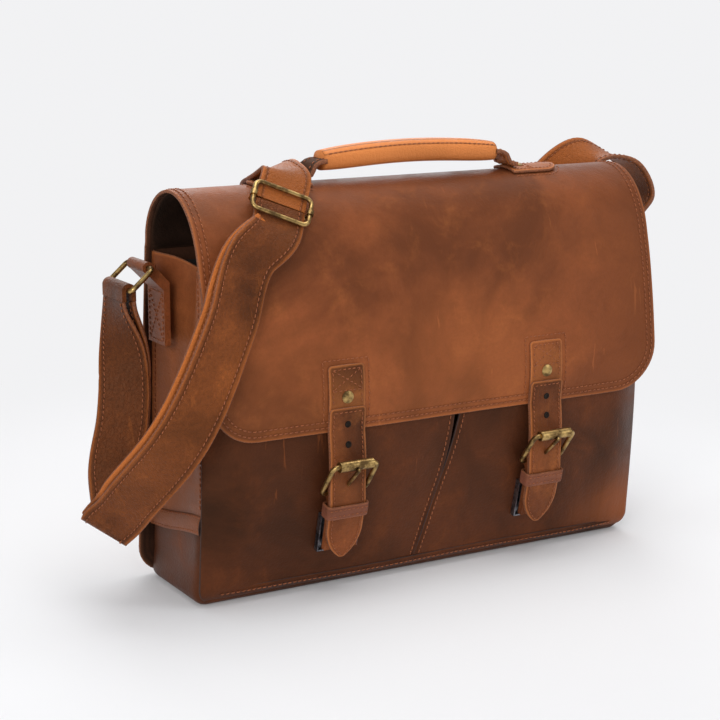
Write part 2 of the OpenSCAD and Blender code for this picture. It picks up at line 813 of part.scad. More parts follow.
// Turn of the strap round the ring's outer bar
module strap_loop() {
  translate([loop_x, ring_y + strap_w / 2, loop_z]) rotate([90, 0, 0]) linear_extrude(strap_w) {
    difference() {
      circle(loop_out);
      circle(loop_in);
      translate([-loop_out - 1, -2 * loop_out]) square([2 * loop_out + 2, 2 * loop_out]);
    }
    for (s = [-1, 1])
      translate([s * loop_mid - strap_t / 2, -loop_leg]) square([strap_t, loop_leg]);
  }
}

module strap_loop_left() { color(hide_dark) mirror([1, 0, 0]) strap_loop(); }

// The right end of the strap comes from above, so its turn is open upward
module strap_loop_right() {
  color(hide_dark) translate([0, 0, 2 * loop_z]) mirror([0, 0, 1]) strap_loop();
}

// Place moved along a direction by a distance
function led(place, along, d) = [place[0] + d * along / norm(along), place[1]];

turn_x = -half_w - 62;
turn_place = [[turn_x + 2, -20, 68], [-26, 20, 19]];
turn_along = [0.45, -0.62, 0.64];

// Both layers from the ring down to the turn at the bottom of the hanging loop
hang_outer = [
  [[-loop_x - loop_mid, ring_y, loop_z - loop_leg - gap], [0, 1, 0]],
  [[-loop_x - loop_mid, ring_y, loop_z - loop_leg - 6], [-2, 37, 0]],
  [[-loop_x - loop_mid - 2, ring_y - 2, loop_z - 34], [-12, 32, 0]],
  [[-loop_x - 7, ring_y - 9, loop_z - 62], [-28, 22, 0]],
  [[-loop_x - 12, ring_y - 16, loop_z - 96], [-33, 19, 4]],
  [[-loop_x - 21, ring_y - 19, loop_z - 130], [-30, 20, 12]],
  [[turn_x - 3, -12, 76], [-27, 20, 17]],
  led(turn_place, turn_along, -6),
  led(turn_place, turn_along, -1.2)
];
hang_inner = [
  [[-loop_x + loop_mid, ring_y, loop_z - loop_leg - gap], [0, 1, 0]],
  [[-loop_x + loop_mid, ring_y, loop_z - loop_leg - 6], [-2, 37, 0]],
  [[-loop_x + loop_mid + 3, ring_y - 1, loop_z - 30], [-10, 34, 0]],
  [[-loop_x + 2.6, ring_y - 13, loop_z - 62], [-28, 22, 0]],
  [[-loop_x - 4.4, ring_y - 23, loop_z - 96], [-33, 19, 4]],
  [[-loop_x - 13, ring_y - 27, loop_z - 130], [-30, 20, 12]],
  [[turn_x + 7, -20, 96], [-28, 20, 15]]
];

module strap_hang_left() {
  color(hide_dark) {
    ribbon(hang_outer, strap_w, strap_t);
    ribbon(hang_inner, strap_w, strap_t);
  }
}

slider_z = crest_z - 12;
slider_at = [-body_w * 0.3275, flap_y(slider_z) - 9, slider_z];
slider_across = [-35, 11, 14.6];
slider_along = [0.46, 0.53, 0.71];
// Two layers and the slack between the strap and the flap
run_off = 2 * strap_t + 1.4;

// Place on the flap's front, with the strap lying along the slope there
function on_flap(x, z, across_x, across_z) = [
  [x, flap_y(z) - run_off, z],
  [across_x, flap_y(z + across_z / 2) - flap_y(z - across_z / 2), across_z]
];

edge_place = on_flap(-flap_w / 2 + 15, hem_z + 89, -30, 24);
upper_place = on_flap(-flap_w / 2 + 38, fold_h + 6, -33, 19);

// Outer layer from the turn up the front of the flap to the slider, and the layer folded back
// round the slider's bar beneath it
run_outer = [
  led(turn_place, turn_along, 3.4),
  led(turn_place, turn_along, 9),
  [[turn_x + 14, -44, 94], [-26, 18, 21]],
  [(turn_place[0] + edge_place[0]) / 2 + [-2, -31, 0], [-27, 11, 22]],
  edge_place,
  upper_place,
  led([slider_at, slider_across], slider_along, -24),
  led([slider_at, slider_across], slider_along, -2 * gap)
];
run_inner = [for (i = [2 : 6]) run_outer[i]];

module strap_front_run() {
  color(hide_dark) {
    ribbon(run_outer, strap_w, strap_t);
    ribbon(run_inner, strap_w - 2, strap_t - 0.6, strap_t + gap);
  }
}

fold_place = [[-grip_l / 2 + 8, back_y(fold_h) + 5, fold_h + 1], [-31, 0, -22]];
fold_along = [0.5, 0, -0.85];

// Single strap from the slider over the crest, beside the handle, and down to the fold
crossing = [
  led([slider_at, slider_across], slider_along, 2 * gap),
  led([slider_at, slider_across], slider_along, 12),
  [[-grip_l / 2 - 39, crest_y - 22, crest_z + 9], [-37, 4, 8]],
  [[-grip_l / 2 - 37, crest_y + 2, crest_z + leather_t + 8], [-36, 0, -9]],
  [[-grip_l / 2 - 32, crest_y + 30, crest_z + 2], [-35, 6, -13]],
  [[-grip_l / 2 - 14, back_y(fold_h) + 4, crest_z - 22], [-34, 2, -17]],
  led(fold_place, fold_along, -8),
  led(fold_place, fold_along, -gap)
];

module strap_crossing() {
  color(hide_dark) ribbon(crossing, strap_w, strap_t);
}

back_off = strap_t / 2 + 2.8;
rise_place = [[half_w - 44, back_y(fold_h) + 9, fold_h - 1], [24, 2, -30]];
rise_along = [0.6, 0.1, 0.75];

// Slack of the strap that hangs behind the bag
back_run = [
  led(fold_place, fold_along, gap),
  led(fold_place, fold_along, 8),
  [[-grip_l / 2 + 44, back_y(fold_h - 26) + back_off, fold_h - 26], [-22, 0, -31]],
  [[-grip_l / 2 + 92, back_y(fold_h - 42) + back_off, fold_h - 42], [-7, 0, -37]],
  [[grip_l / 2 - 20, back_y(fold_h - 42) + back_off, fold_h - 42], [7, 0, -37]],
  [[half_w - 82, back_y(fold_h - 26) + back_off, fold_h - 26], [18, 0, -34]],
  led(rise_place, rise_along, -8),
  led(rise_place, rise_along, -gap)
];

module strap_back_run() {
  color(hide_dark) ribbon(back_run, strap_w, strap_t);
}

// Stiff arc of the strap that stands up beside the flap and comes down to the right ring
arc_right = [
  led(rise_place, rise_along, gap),
  led(rise_place, rise_along, 8),
  [[half_w - 14, back_y(fold_h) + 12, crest_z - 18], [26, -14, -26]],
  [[half_w + 16, back_y(fold_h) - 2, crest_z + 2], [14, -34, -10]],
  [[half_w + 44, ring_y + 4, crest_z - 8], [2, -38, -2]],
  [[half_w + 54, ring_y, crest_z - 34], [0, -38, 0]],
  [[loop_x + loop_mid + 5, ring_y, loop_z + 24], [0, -38, 0]],
  [[loop_x + loop_mid, ring_y, loop_z + loop_leg + 6], [0, -38, 0]],
  [[loop_x + loop_mid, ring_y, loop_z + loop_leg + gap], [0, -38, 0]]
];

module strap_arc_right() {
  color(hide_dark) ribbon(arc_right, strap_w, strap_t);
}

slider_inner = strap_w + 3;
slider_lift = strap_t / 2 + slider_wire / 2 + 3 * gap;

// Places its children at the slider: X across the strap, Y along it, Z away from the flap
module at_slider() {
  x = -slider_across / norm(slider_across);
  raw = slider_along - x * (slider_along * x);
  y = raw / norm(raw);
  z = cross(x, y);
  multmatrix([
    [x[0], y[0], z[0], slider_at[0]],
    [x[1], y[1], z[1], slider_at[1]],
    [x[2], y[2], z[2], slider_at[2]],
    [0, 0, 0, 1]
  ]) children();
}

module slider_frame() {
  color(antique) at_slider() translate([0, 0, slider_lift])
    wire_frame(slider_inner + slider_wire, slider_h - slider_wire, slider_wire, 5);
}

// Bar across the slider, under the strap, with a collar at each end that slides on the frame
module slider_bar() {
  collar_l = 4;
  bar_d = 3;
  span = slider_inner + slider_wire;
  bore = slider_wire / 2 + run;
  low = -slider_lift - strap_t / 2 - gap - bar_d / 2;
  color(antique) at_slider() translate([0, 0, slider_lift]) {
    difference() {
      union() {
        for (s = [-1, 1]) translate([s * span / 2, 0, 0]) {
          translate([0, collar_l / 2, 0]) rotate([90, 0, 0]) cylinder(r = bore + 1, h = collar_l);
          translate([0, 0, low]) cylinder(d = bar_d, h = -low);
          translate([0, 0, low]) sphere(d = bar_d);
        }
        translate([-span / 2, 0, low]) rotate([0, 90, 0]) cylinder(d = bar_d, h = span);
      }
      for (s = [-1, 1]) translate([s * span / 2, slider_h, 0]) rotate([90, 0, 0])
        cylinder(r = bore, h = 2 * slider_h);
    }
  }
}

back_panel();
gusset_left();
gusset_right();
base_panel();
front_wall();
pocket_left();
pocket_right();
lining();
divider();
base_board();
ring_tab_left();
ring_tab_right();
catch_tray(-1);  // catch_tray_left
catch_tray(1);  // catch_tray_right
catch_magnet(-1);  // catch_magnet_left
catch_magnet(1);  // catch_magnet_right
flap();
flap_lining();
tongue(-1);  // tongue_left
tongue(1);  // tongue_right
tongue_rivet(-1);  // tongue_rivet_left
tongue_rivet(1);  // tongue_rivet_right
buckle_holder(-1);  // buckle_holder_left
buckle_holder(1);  // buckle_holder_right
keeper(-1);  // keeper_left
keeper(1);  // keeper_right
catch_plate(-1);  // catch_plate_left
catch_plate(1);  // catch_plate_right
buckle(-1);  // buckle_left
buckle(1);  // buckle_right
roller(-1);  // roller_left
roller(1);  // roller_right
prong(-1);  // prong_left
prong(1);  // prong_right
handle_tab(-1);  // handle_tab_left
handle_tab(1);  // handle_tab_right
handle_rivets();
handle_grip();
handle_end(-1);  // handle_end_left
handle_end(1);  // handle_end_right
ring_left();
ring_right();
strap_loop_left();
strap_loop_right();
strap_hang_left();
strap_front_run();
strap_crossing();
strap_back_run();
strap_arc_right();
slider_frame();
slider_bar();
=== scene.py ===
import math

import bpy
import numpy as np
from mathutils import Matrix, Vector


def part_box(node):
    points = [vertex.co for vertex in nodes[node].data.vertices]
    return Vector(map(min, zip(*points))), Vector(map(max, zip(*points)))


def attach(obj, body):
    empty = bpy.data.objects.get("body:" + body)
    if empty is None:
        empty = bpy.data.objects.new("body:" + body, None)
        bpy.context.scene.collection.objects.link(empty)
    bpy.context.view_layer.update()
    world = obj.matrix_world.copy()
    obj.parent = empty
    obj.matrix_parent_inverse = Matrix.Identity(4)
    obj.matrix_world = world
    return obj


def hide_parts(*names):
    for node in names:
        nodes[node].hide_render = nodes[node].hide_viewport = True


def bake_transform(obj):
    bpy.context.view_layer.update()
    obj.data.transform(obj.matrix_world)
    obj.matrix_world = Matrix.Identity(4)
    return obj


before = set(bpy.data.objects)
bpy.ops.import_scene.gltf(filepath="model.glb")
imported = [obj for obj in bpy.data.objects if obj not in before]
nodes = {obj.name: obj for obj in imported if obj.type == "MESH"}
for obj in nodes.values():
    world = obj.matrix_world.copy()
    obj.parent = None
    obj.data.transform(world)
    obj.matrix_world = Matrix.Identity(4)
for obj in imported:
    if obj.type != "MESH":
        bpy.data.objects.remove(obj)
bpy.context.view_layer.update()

# A leather briefcase. Lengths in this script are millimetres in the row's frame until a mesh is made.
MM = 0.001
BOTH = ("left", "right")


def cad(name):
    """Lowest and highest corner of a CAD node, in millimetres."""
    low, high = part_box(name)
    return np.array(low) / MM, np.array(high) / MM


# ---- Driving dimensions, the same as the part's ----

HALF_W = 200.0
HALF_D = 48.0
FOLD_H = 262.0
LEATHER = 2.4
GAP = 0.3
BACK_LEAN = 15.0
FRONT_LEAN = 9.0
END_H = 65.0
POCKET_H = 186.0
POCKET_BULGE = 16.0
FLAP_HALF = 202.0
CREST_R = 46.0
CREST_Z = 312.0
HEM_Z = 132.0
HEM_OUT = 78.0
CORNER_R = 38.0
CLOSURE_X = 91.0
TONGUE_W = 31.0
STRAP_W = 38.0
STRAP_T = 3.2


def back_y(z):
    return HALF_D - BACK_LEAN * z / FOLD_H


def wall_y(z):
    return -(HALF_D - 2 + FRONT_LEAN * np.sin(np.radians(90 * np.minimum(z / 150, 1))))


def pocket_y(z):
    return wall_y(z) - GAP - LEATHER - POCKET_BULGE * np.sin(np.radians(90 * np.clip(z / 125, 0, 1)))


CREST_Y = back_y(FOLD_H) - 1 - CREST_R


# ---- Curves ----

def lengths(pts):
    """Distance along a line up to each of its points."""
    steps = np.linalg.norm(np.diff(pts, axis=0), axis=1)
    return np.concatenate([[0], np.cumsum(steps)])


def smooth(values, at, count):
    """Smooth curve through values at distances at, sampled evenly at count places."""
    values = np.asarray(values, float)
    at = np.asarray(at, float)
    rate = np.empty_like(values)
    span = np.diff(at)[:, None]
    slope = np.diff(values, axis=0) / span
    rate[0], rate[-1] = slope[0], slope[-1]
    rate[1:-1] = (slope[1:] * span[:-1] + slope[:-1] * span[1:]) / (span[:-1] + span[1:])
    where = np.linspace(at[0], at[-1], count)
    i = np.clip(np.searchsorted(at, where, side="right") - 1, 0, len(at) - 2)
    h = span[i]
    q = (where - at[i])[:, None] / h
    return (
        (2 * q**3 - 3 * q**2 + 1) * values[i] + (q**3 - 2 * q**2 + q) * h * rate[i]
        + (3 * q**2 - 2 * q**3) * values[i + 1] + (q**3 - q**2) * h * rate[i + 1]
    )


def resample(pts, count):
    at = lengths(pts)
    where = np.linspace(0, at[-1], count)
    return np.stack([np.interp(where, at, pts[:, k]) for k in range(pts.shape[1])], 1)


def unit(v):
    return v / (np.linalg.norm(v, axis=-1, keepdims=True) + 1e-12)


def wave(p, size, seed):
    """Slow, smooth unevenness of soft leather, from -1 to 1, the same on every run."""
    a = np.sin(p[..., 0] / size + seed) * np.cos(p[..., 2] / (size * 0.83) + 1.7 * seed)
    b = np.sin(p[..., 0] / (size * 0.57) + 2.3 * seed + p[..., 2] / (size * 1.3))
    c = np.cos(p[..., 1] / (size * 0.71) - seed + p[..., 2] / (size * 0.61))
    return 0.45 * a + 0.3 * b + 0.25 * c


# ---- Meshes ----

def make_mesh(name, verts, faces, materials, face_material=None, smooth_shade=True, **facts):
    """One mesh piece, with its resting place and the given numbers kept on its points."""
    mesh = bpy.data.meshes.new(name)
    verts = np.asarray(verts, float) * MM
    mesh.from_pydata(verts.tolist(), [], faces)
    for m in materials:
        mesh.materials.append(m)
    if face_material is not None:
        mesh.polygons.foreach_set("material_index", np.asarray(face_material, np.int32))
    mesh.polygons.foreach_set("use_smooth", np.full(len(faces), smooth_shade))
    rest = mesh.attributes.new("rest", "FLOAT_VECTOR", "POINT")
    rest.data.foreach_set("vector", verts.astype(np.float32).ravel())
    for key, value in facts.items():
        layer = mesh.attributes.new(key, "FLOAT", "POINT")
        layer.data.foreach_set("value", np.broadcast_to(value, len(verts)).astype(np.float32))
    mesh.validate()
    mesh.update()
    piece = bpy.data.objects.new(name, mesh)
    bpy.context.scene.collection.objects.link(piece)
    return piece


def normals_of(grid):
    n = np.cross(np.gradient(grid, axis=0), np.gradient(grid, axis=1))
    return unit(n)


RIM_STEPS = 3


def rim_loop(nu, nv):
    return (
        [(i, 0) for i in range(nu)] + [(nu - 1, j) for j in range(1, nv)]
        + [(i, nv - 1) for i in range(nu - 2, -1, -1)] + [(0, j) for j in range(nv - 2, 0, -1)]
    )


def border_distance(grid):
    """Distance of each grid point from the sheet's border, along the grid's own lines."""
    du = np.linalg.norm(np.diff(grid, axis=0), axis=2)
    dv = np.linalg.norm(np.diff(grid, axis=1), axis=2)
    a = np.concatenate([np.zeros((1, grid.shape[1])), np.cumsum(du, 0)])
    b = np.concatenate([np.zeros((grid.shape[0], 1)), np.cumsum(dv, 1)], 1)
    return np.minimum(np.minimum(a, a[-1:] - a), np.minimum(b, b[:, -1:] - b))


def sheet(name, grid, thick, materials, edge=None, tone=0.0, bulge=0.3, rows=0, facing=None,
          open_ends=False):
    """Sheet of leather of even thickness behind the surface in grid, with rounded edges.
    materials are those of the face, the cut edge and the back. open_ends leaves the two ends of the
    second direction open, for a stretch that another one carries on."""
    grid = np.asarray(grid, float)
    nu, nv = grid.shape[:2]
    tone = np.broadcast_to(tone, (nu, nv))
    n = normals_of(grid)
    if facing is not None and np.dot(n[nu // 2, nv // 2], facing) < 0:
        grid, tone = grid[::-1], tone[::-1]
        edge = None if edge is None else edge[::-1]
        n = normals_of(grid)
    outer = grid.reshape(-1, 3)
    inner = (grid - thick * n).reshape(-1, 3)
    loop = rim_loop(nu, nv)
    index = np.array([i * nv + j for i, j in loop])
    border = outer[index]
    ahead = unit(np.roll(border, -1, 0) - np.roll(border, 1, 0))
    out = unit(np.cross(ahead, n.reshape(-1, 3)[index]))
    at_end = np.array([j in (0, nv - 1) for _, j in loop])
    if open_ends:
        out[at_end] = 0
    rings = []
    for k in range(1, RIM_STEPS + 1):
        a = math.pi * k / (RIM_STEPS + 1)
        drop = thick * (1 - math.cos(a)) / 2
        rings.append(border - drop * n.reshape(-1, 3)[index] + bulge * thick * math.sin(a) * out)
    verts = np.concatenate([outer, inner] + rings)
    count = nu * nv
    i, j = np.meshgrid(np.arange(nu - 1), np.arange(nv - 1), indexing="ij")
    k = (i * nv + j).ravel()
    face = np.stack([k, k + nv, k + nv + 1, k + 1], 1)
    back = face[:, ::-1] + count
    ids = [index] + [2 * count + q * len(loop) + np.arange(len(loop)) for q in range(RIM_STEPS)] + [index + count]
    rim = [np.stack([a, b, np.roll(b, -1), np.roll(a, -1)], 1) for a, b in zip(ids[:-1], ids[1:])]
    open_rim = at_end & np.roll(at_end, -1) & open_ends
    rim = [q[~open_rim] for q in rim]
    faces = np.concatenate([face, back] + rim)
    mats = np.concatenate([np.zeros(len(face)), np.full(len(back), 2), np.ones(len(faces) - 2 * len(face))])
    edge = border_distance(grid) if edge is None else edge
    edge = np.concatenate([edge.ravel()] * 2 + [np.zeros(RIM_STEPS * len(loop))])
    tone = tone.ravel()
    tone = np.concatenate([tone, tone] + [tone[index]] * RIM_STEPS)
    return make_mesh(name, verts, faces.tolist(), materials, mats, edge_mm=edge, tone=tone, rows=float(rows))


def stitches(name, lines, pitch=4.3, length=3.2, width=0.95):
    """Sewn thread along lines, each (points, normals), as one mesh of short rounded stitches."""
    stations = [(-0.5, 0.25, -0.35), (-0.36, 0.85, 0.12), (0.0, 1.0, 0.3), (0.36, 0.85, 0.12), (0.5, 0.25, -0.35)]
    sides = 6
    around = np.arange(sides) * 2 * math.pi / sides
    verts, faces = [], []
    for pts, nor in lines:
        at = lengths(pts)
        count = int(at[-1] / pitch)
        if count < 1:
            continue
        where = (np.arange(count) + 0.5) * at[-1] / count
        c = np.stack([np.interp(where, at, pts[:, k]) for k in range(3)], 1)
        n = unit(np.stack([np.interp(where, at, nor[:, k]) for k in range(3)], 1))
        t = np.stack([np.interp(where + 0.6, at, pts[:, k]) - np.interp(where - 0.6, at, pts[:, k]) for k in range(3)], 1)
        t = unit(t - n * np.sum(t * n, 1, keepdims=True))
        b = np.cross(n, t)
        t = unit(t + 0.12 * b)
        for s, fat, lift in stations:
            for a in around:
                verts.append(
                    c + t * s * length + b * math.cos(a) * fat * width / 2
                    + n * (math.sin(a) * fat * width / 2 + lift * width)
                )
    if not verts:
        return None
    # verts holds, line by line, one array for each point of the stitch's rings
    ring = len(stations) * sides
    stacked, out_faces, base = [], [], 0
    for k in range(0, len(verts), ring):
        block = np.stack(verts[k:k + ring], 1)
        m = len(block)
        stacked.append(block.reshape(-1, 3))
        for q in range(m):
            o = base + q * ring
            for s in range(len(stations) - 1):
                for e in range(sides):
                    f = (e + 1) % sides
                    out_faces.append((o + s * sides + e, o + s * sides + f, o + (s + 1) * sides + f, o + (s + 1) * sides + e))
            out_faces.append(tuple(o + e for e in range(sides - 1, -1, -1)))
            out_faces.append(tuple(o + (len(stations) - 1) * sides + e for e in range(sides)))
        base += m * ring
    faces = out_faces
    return make_mesh(name, np.concatenate(stacked), faces, [thread], tone=0.0)


def tube(name, pts, radius, material, sides=10, caps=True):
    """Round wire or piping along points; radius may vary from point to point."""
    pts = np.asarray(pts, float)
    radius = np.broadcast_to(radius, len(pts))
    t = unit(np.gradient(pts, axis=0))
    up = np.array([0.0, 0.0, 1.0]) if abs(t[0][2]) < 0.9 else np.array([1.0, 0.0, 0.0])
    rings = []
    side = unit(np.cross(t[0], up))
    for p, d, r in zip(pts, t, radius):
        side = unit(side - d * np.dot(side, d))
        b = np.cross(d, side)
        rings.append([p + r * (math.cos(a) * side + math.sin(a) * b) for a in np.arange(sides) * 2 * math.pi / sides])
    verts = np.array(rings).reshape(-1, 3)
    faces = []
    for i in range(len(pts) - 1):
        for e in range(sides):
            f = (e + 1) % sides
            faces.append((i * sides + e, i * sides + f, (i + 1) * sides + f, (i + 1) * sides + e))
    faces.append(tuple(range(sides - 1, -1, -1)))
    faces.append(tuple((len(pts) - 1) * sides + e for e in range(sides)))
    return make_mesh(name, verts, faces, [material], edge_mm=50.0, tone=0.0, rows=0.0)


# ---- Materials ----

class Shader:
    """Small helper to wire a node material."""

    def __init__(self, name):
        self.material = bpy.data.materials.new(name)
        self.material.use_nodes = True
        self.tree = self.material.node_tree
        self.tree.nodes.clear()
        self.out = self.node("ShaderNodeOutputMaterial")
        self.bsdf = self.node("ShaderNodeBsdfPrincipled")
        self.tree.links.new(self.bsdf.outputs[0], self.out.inputs[0])

    def node(self, kind, inputs=None, **props):
        n = self.tree.nodes.new(kind)
        for k, v in props.items():
            setattr(n, k, v)
        for k, v in (inputs or {}).items():
            self.put(n.inputs[k], v)
        return n

    def put(self, socket, value):
        if isinstance(value, bpy.types.NodeSocket):
            self.tree.links.new(value, socket)
        else:
            socket.default_value = value

    def set(self, **values):
        for k, v in values.items():
            self.put(self.bsdf.inputs[k.replace("_", " ")], v)

    def math(self, operation, a, b=0.0, c=None, clamp=False):
        n = self.node("ShaderNodeMath", {0: a, 1: b}, operation=operation, use_clamp=clamp)
        if c is not None:
            self.put(n.inputs[2], c)
        return n.outputs[0]

    def span(self, value, low, high, to_low=0.0, to_high=1.0):
        """value mapped from low..high to 0..1, eased and held at the ends."""
        n = self.node("ShaderNodeMapRange", {0: value, 1: low, 2: high, 3: to_low, 4: to_high})
        n.interpolation_type = "SMOOTHSTEP"
        return n.outputs[0]

    def mix(self, factor, a, b, blend="MIX"):
        n = self.node("ShaderNodeMix", data_type="RGBA", blend_type=blend)
        self.put(n.inputs[0], factor)
        self.put(n.inputs[6], a)
        self.put(n.inputs[7], b)
        return n.outputs[2]

    def attribute(self, name):
        return self.node("ShaderNodeAttribute", attribute_name=name)

    def place(self, scale=(1, 1, 1), turn=(0, 0, 0)):
        source = self.attribute("rest").outputs["Vector"]
        n = self.node("ShaderNodeMapping", {"Vector": source, "Scale": scale, "Rotation": turn})
        return n.outputs[0]

    def noise(self, where, scale, detail=3.0, rough=0.55, distort=0.0):
        n = self.node("ShaderNodeTexNoise", {
            "Vector": where, "Scale": scale, "Detail": detail, "Roughness": rough, "Distortion": distort})
        return n.outputs[0]

    def cells(self, where, scale, feature="F1"):
        n = self.node("ShaderNodeTexVoronoi", {"Vector": where, "Scale": scale}, feature=feature)
        return n.outputs["Distance"]

    def bump(self, height, distance, strength=1.0, under=None):
        n = self.node("ShaderNodeBump", {"Height": height, "Distance": distance, "Strength": strength})
        if under is not None:
            self.put(n.inputs["Normal"], under)
        return n.outputs[0]


def rgb(r, g, b):
    """A colour from 0-255 values as a picture shows it."""
    def linear(c):
        c /= 255
        return c / 12.92 if c <= 0.04045 else ((c + 0.055) / 1.055) ** 2.4
    return (linear(r), linear(g), linear(b), 1.0)


# Waxed leather reflects warm
SHEEN = (0.85, 0.55, 0.36, 1.0)


def leather(name, base, dark, light, rough=0.46, grain=0.5, patch=1.0, scratch=0.5, seed=0.0):
    """Waxed pull-up leather: clouds of colour, pores, scratches, paler worn edges, sewn grooves darkened with painted
    shade, and lighter or darker points from the tone attribute, painted light and shade on some pieces.
    """
    s = Shader(name)
    where = s.place()
    shifted = s.place(turn=(0.3 + seed, 0.5, 0.2 + seed))
    clouds = s.noise(shifted, 6.5 * patch, 5.0, 0.6, 0.6)
    mottle = s.noise(where, 34 * patch, 6.0, 0.68, 0.4)
    fine = s.noise(where, 420, 3.0, 0.6)
    pores = s.cells(where, 760)
    creases = s.cells(shifted, 300, "DISTANCE_TO_EDGE")
    colour = s.mix(s.span(clouds, 0.34, 0.62), dark, base)
    colour = s.mix(s.math("MULTIPLY", s.span(mottle, 0.48, 0.85), 0.3), colour, light)
    colour = s.mix(s.math("MULTIPLY", s.span(mottle, 0.5, 0.25), 0.35), colour, dark)
    colour = s.mix(s.math("MULTIPLY", s.span(fine, 0.35, 0.75), 0.35 * grain), colour, dark)
    # tone lightens or darkens the colour point by point: random tone, and on some pieces painted light and shade set
    # where the piece is made
    tone = s.attribute("tone").outputs["Fac"]
    colour = s.mix(s.math("MULTIPLY", tone, 0.85, clamp=True), colour, light)
    colour = s.mix(s.math("MULTIPLY", tone, -0.85, clamp=True), colour, dark)
    streaks = []
    for turn, low in (((0.4, 0.2, 0.5), 0.69), ((1.1, 0.7, -0.6), 0.7), ((-0.5, 1.3, 1.2), 0.71)):
        lines = s.noise(s.place(scale=(190, 14, 22), turn=turn), 1.0, 2.0, 0.5, 0.9)
        streaks.append(s.span(lines, low, low + 0.05))
    marks = s.math("MAXIMUM", s.math("MAXIMUM", streaks[0], streaks[1]), streaks[2])
    spread = s.span(s.noise(shifted, 14, 2.0), 0.5, 0.66)
    marks = s.math("MULTIPLY", s.math("MULTIPLY", marks, spread), 0.5 * scratch)
    colour = s.mix(marks, colour, light)
    edge = s.attribute("edge_mm").outputs["Fac"]
    ragged = s.math("ADD", edge, s.math("MULTIPLY", s.math("SUBTRACT", mottle, 0.5), 3.0))
    worn = s.math("MULTIPLY", s.span(ragged, 2.0, 0.2), 0.3)
    colour = s.mix(worn, colour, light)
    rows = s.attribute("rows").outputs["Fac"]
    groove = None
    for order, place in enumerate((3.6, 8.0)):
        band = s.span(s.math("ABSOLUTE", s.math("SUBTRACT", edge, place)), 1.5, 0.2)
        band = s.math("MULTIPLY", band, s.math("GREATER_THAN", rows, order + 0.5))
        groove = band if groove is None else s.math("MAXIMUM", groove, band)
    # painted shade: the grooves of the sewn rows are darkened in colour, besides their bump below
    colour = s.mix(s.math("MULTIPLY", groove, 0.55), colour, dark)
    bump = s.bump(pores, 0.00035, 0.55 * grain)
    bump = s.bump(s.span(creases, 0.0, 0.12), 0.0003, 0.5 * grain, bump)
    bump = s.bump(mottle, 0.0012, 0.5, bump)
    bump = s.bump(clouds, 0.006, 0.35, bump)
    bump = s.bump(groove, 0.0009, -0.9, bump)
    shine = s.math("ADD", rough, s.math("MULTIPLY", s.math("SUBTRACT", mottle, 0.5), 0.5))
    s.set(Base_Color=colour, Roughness=shine, Normal=bump)
    s.bsdf.inputs["Specular IOR Level"].default_value = 0.22
    s.bsdf.inputs["Specular Tint"].default_value = SHEEN
    return s.material


def raw_edge(name, base, dark):
    """Cut edge of leather: fibrous, two-tone along its length."""
    s = Shader(name)
    where = s.place()
    fibres = s.noise(where, 900, 4.0, 0.7)
    clouds = s.noise(where, 60, 3.0)
    colour = s.mix(s.span(fibres, 0.3, 0.7), dark, base)
    colour = s.mix(s.math("MULTIPLY", s.span(clouds, 0.4, 0.7), 0.4), colour, dark)
    s.set(Base_Color=colour, Roughness=0.7, Normal=s.bump(fibres, 0.0004, 0.5))
    return s.material


def cloth(name, base, light):
    """Plain weave: two crossed sets of threads."""
    s = Shader(name)
    where = s.place()
    weave = []
    for axis in ("X", "Z"):
        wave_node = s.node("ShaderNodeTexWave", {"Vector": where, "Scale": 420.0, "Distortion": 1.0})
        wave_node.bands_direction = axis
        weave.append(wave_node.outputs[1])
    threads = s.math("MULTIPLY", weave[0], weave[1])
    mottle = s.noise(where, 60, 4.0)
    colour = s.mix(s.math("MULTIPLY", threads, s.span(mottle, 0.2, 0.8)), base, light)
    s.set(Base_Color=colour, Roughness=0.85, Normal=s.bump(threads, 0.0003, 0.6))
    return s.material


def metal(name, base, dark, rough, wear=0.5):
    """Cast and rubbed metal with darker hollows."""
    s = Shader(name)
    where = s.node("ShaderNodeTexCoord").outputs["Object"]
    clouds = s.noise(where, 130, 5.0, 0.65)
    fine = s.noise(where, 1400, 3.0, 0.6)
    colour = s.mix(s.span(clouds, 0.62, 0.36), base, dark)
    shine = s.math("ADD", rough, s.math("MULTIPLY", s.span(clouds, 0.65, 0.35), 0.25 * wear))
    s.set(Base_Color=colour, Roughness=shine, Metallic=1.0, Normal=s.bump(fine, 0.0001, 0.25))
    return s.material


def thread_material(name, base, dark):
    s = Shader(name)
    where = s.place()
    twist = s.noise(where, 2400, 2.0)
    s.set(Base_Color=s.mix(s.span(twist, 0.35, 0.65), dark, base), Roughness=0.6)
    return s.material


BROWN = rgb(140, 77, 44)
DARK = rgb(94, 50, 28)
LIGHT = rgb(200, 118, 64)
hide = leather("body_leather", BROWN, DARK, LIGHT)
hide_low = leather("front_leather", rgb(94, 50, 29), rgb(46, 24, 14), rgb(166, 90, 46), patch=0.8, seed=0.7)
trim = leather("trim_leather", rgb(132, 72, 41), rgb(74, 39, 22), rgb(236, 144, 78), grain=0.8, seed=1.3)
strap_hide = leather("strap_leather", rgb(112, 60, 31), rgb(62, 32, 17), rgb(205, 116, 54), grain=1.3, patch=1.4,
                     scratch=0.25, seed=2.1)
keeper_hide = leather("keeper_leather", rgb(126, 76, 60), rgb(76, 42, 32), rgb(190, 120, 84), grain=0.6, seed=2.9)
dark_edge = raw_edge("dark_edge", rgb(70, 38, 24), rgb(34, 19, 13))
edge_hide = raw_edge("cut_edge", rgb(156, 92, 52), rgb(92, 50, 28))
flesh = leather("flesh_side", rgb(74, 46, 34), rgb(40, 25, 19), rgb(110, 72, 50), rough=0.75, scratch=0.1, seed=3.3)
suede = leather("lining_suede", rgb(52, 34, 26), rgb(24, 16, 13), rgb(80, 54, 40), rough=0.85, scratch=0.0, seed=4.1)
lining = cloth("lining_cloth", rgb(34, 27, 23), rgb(74, 60, 50))
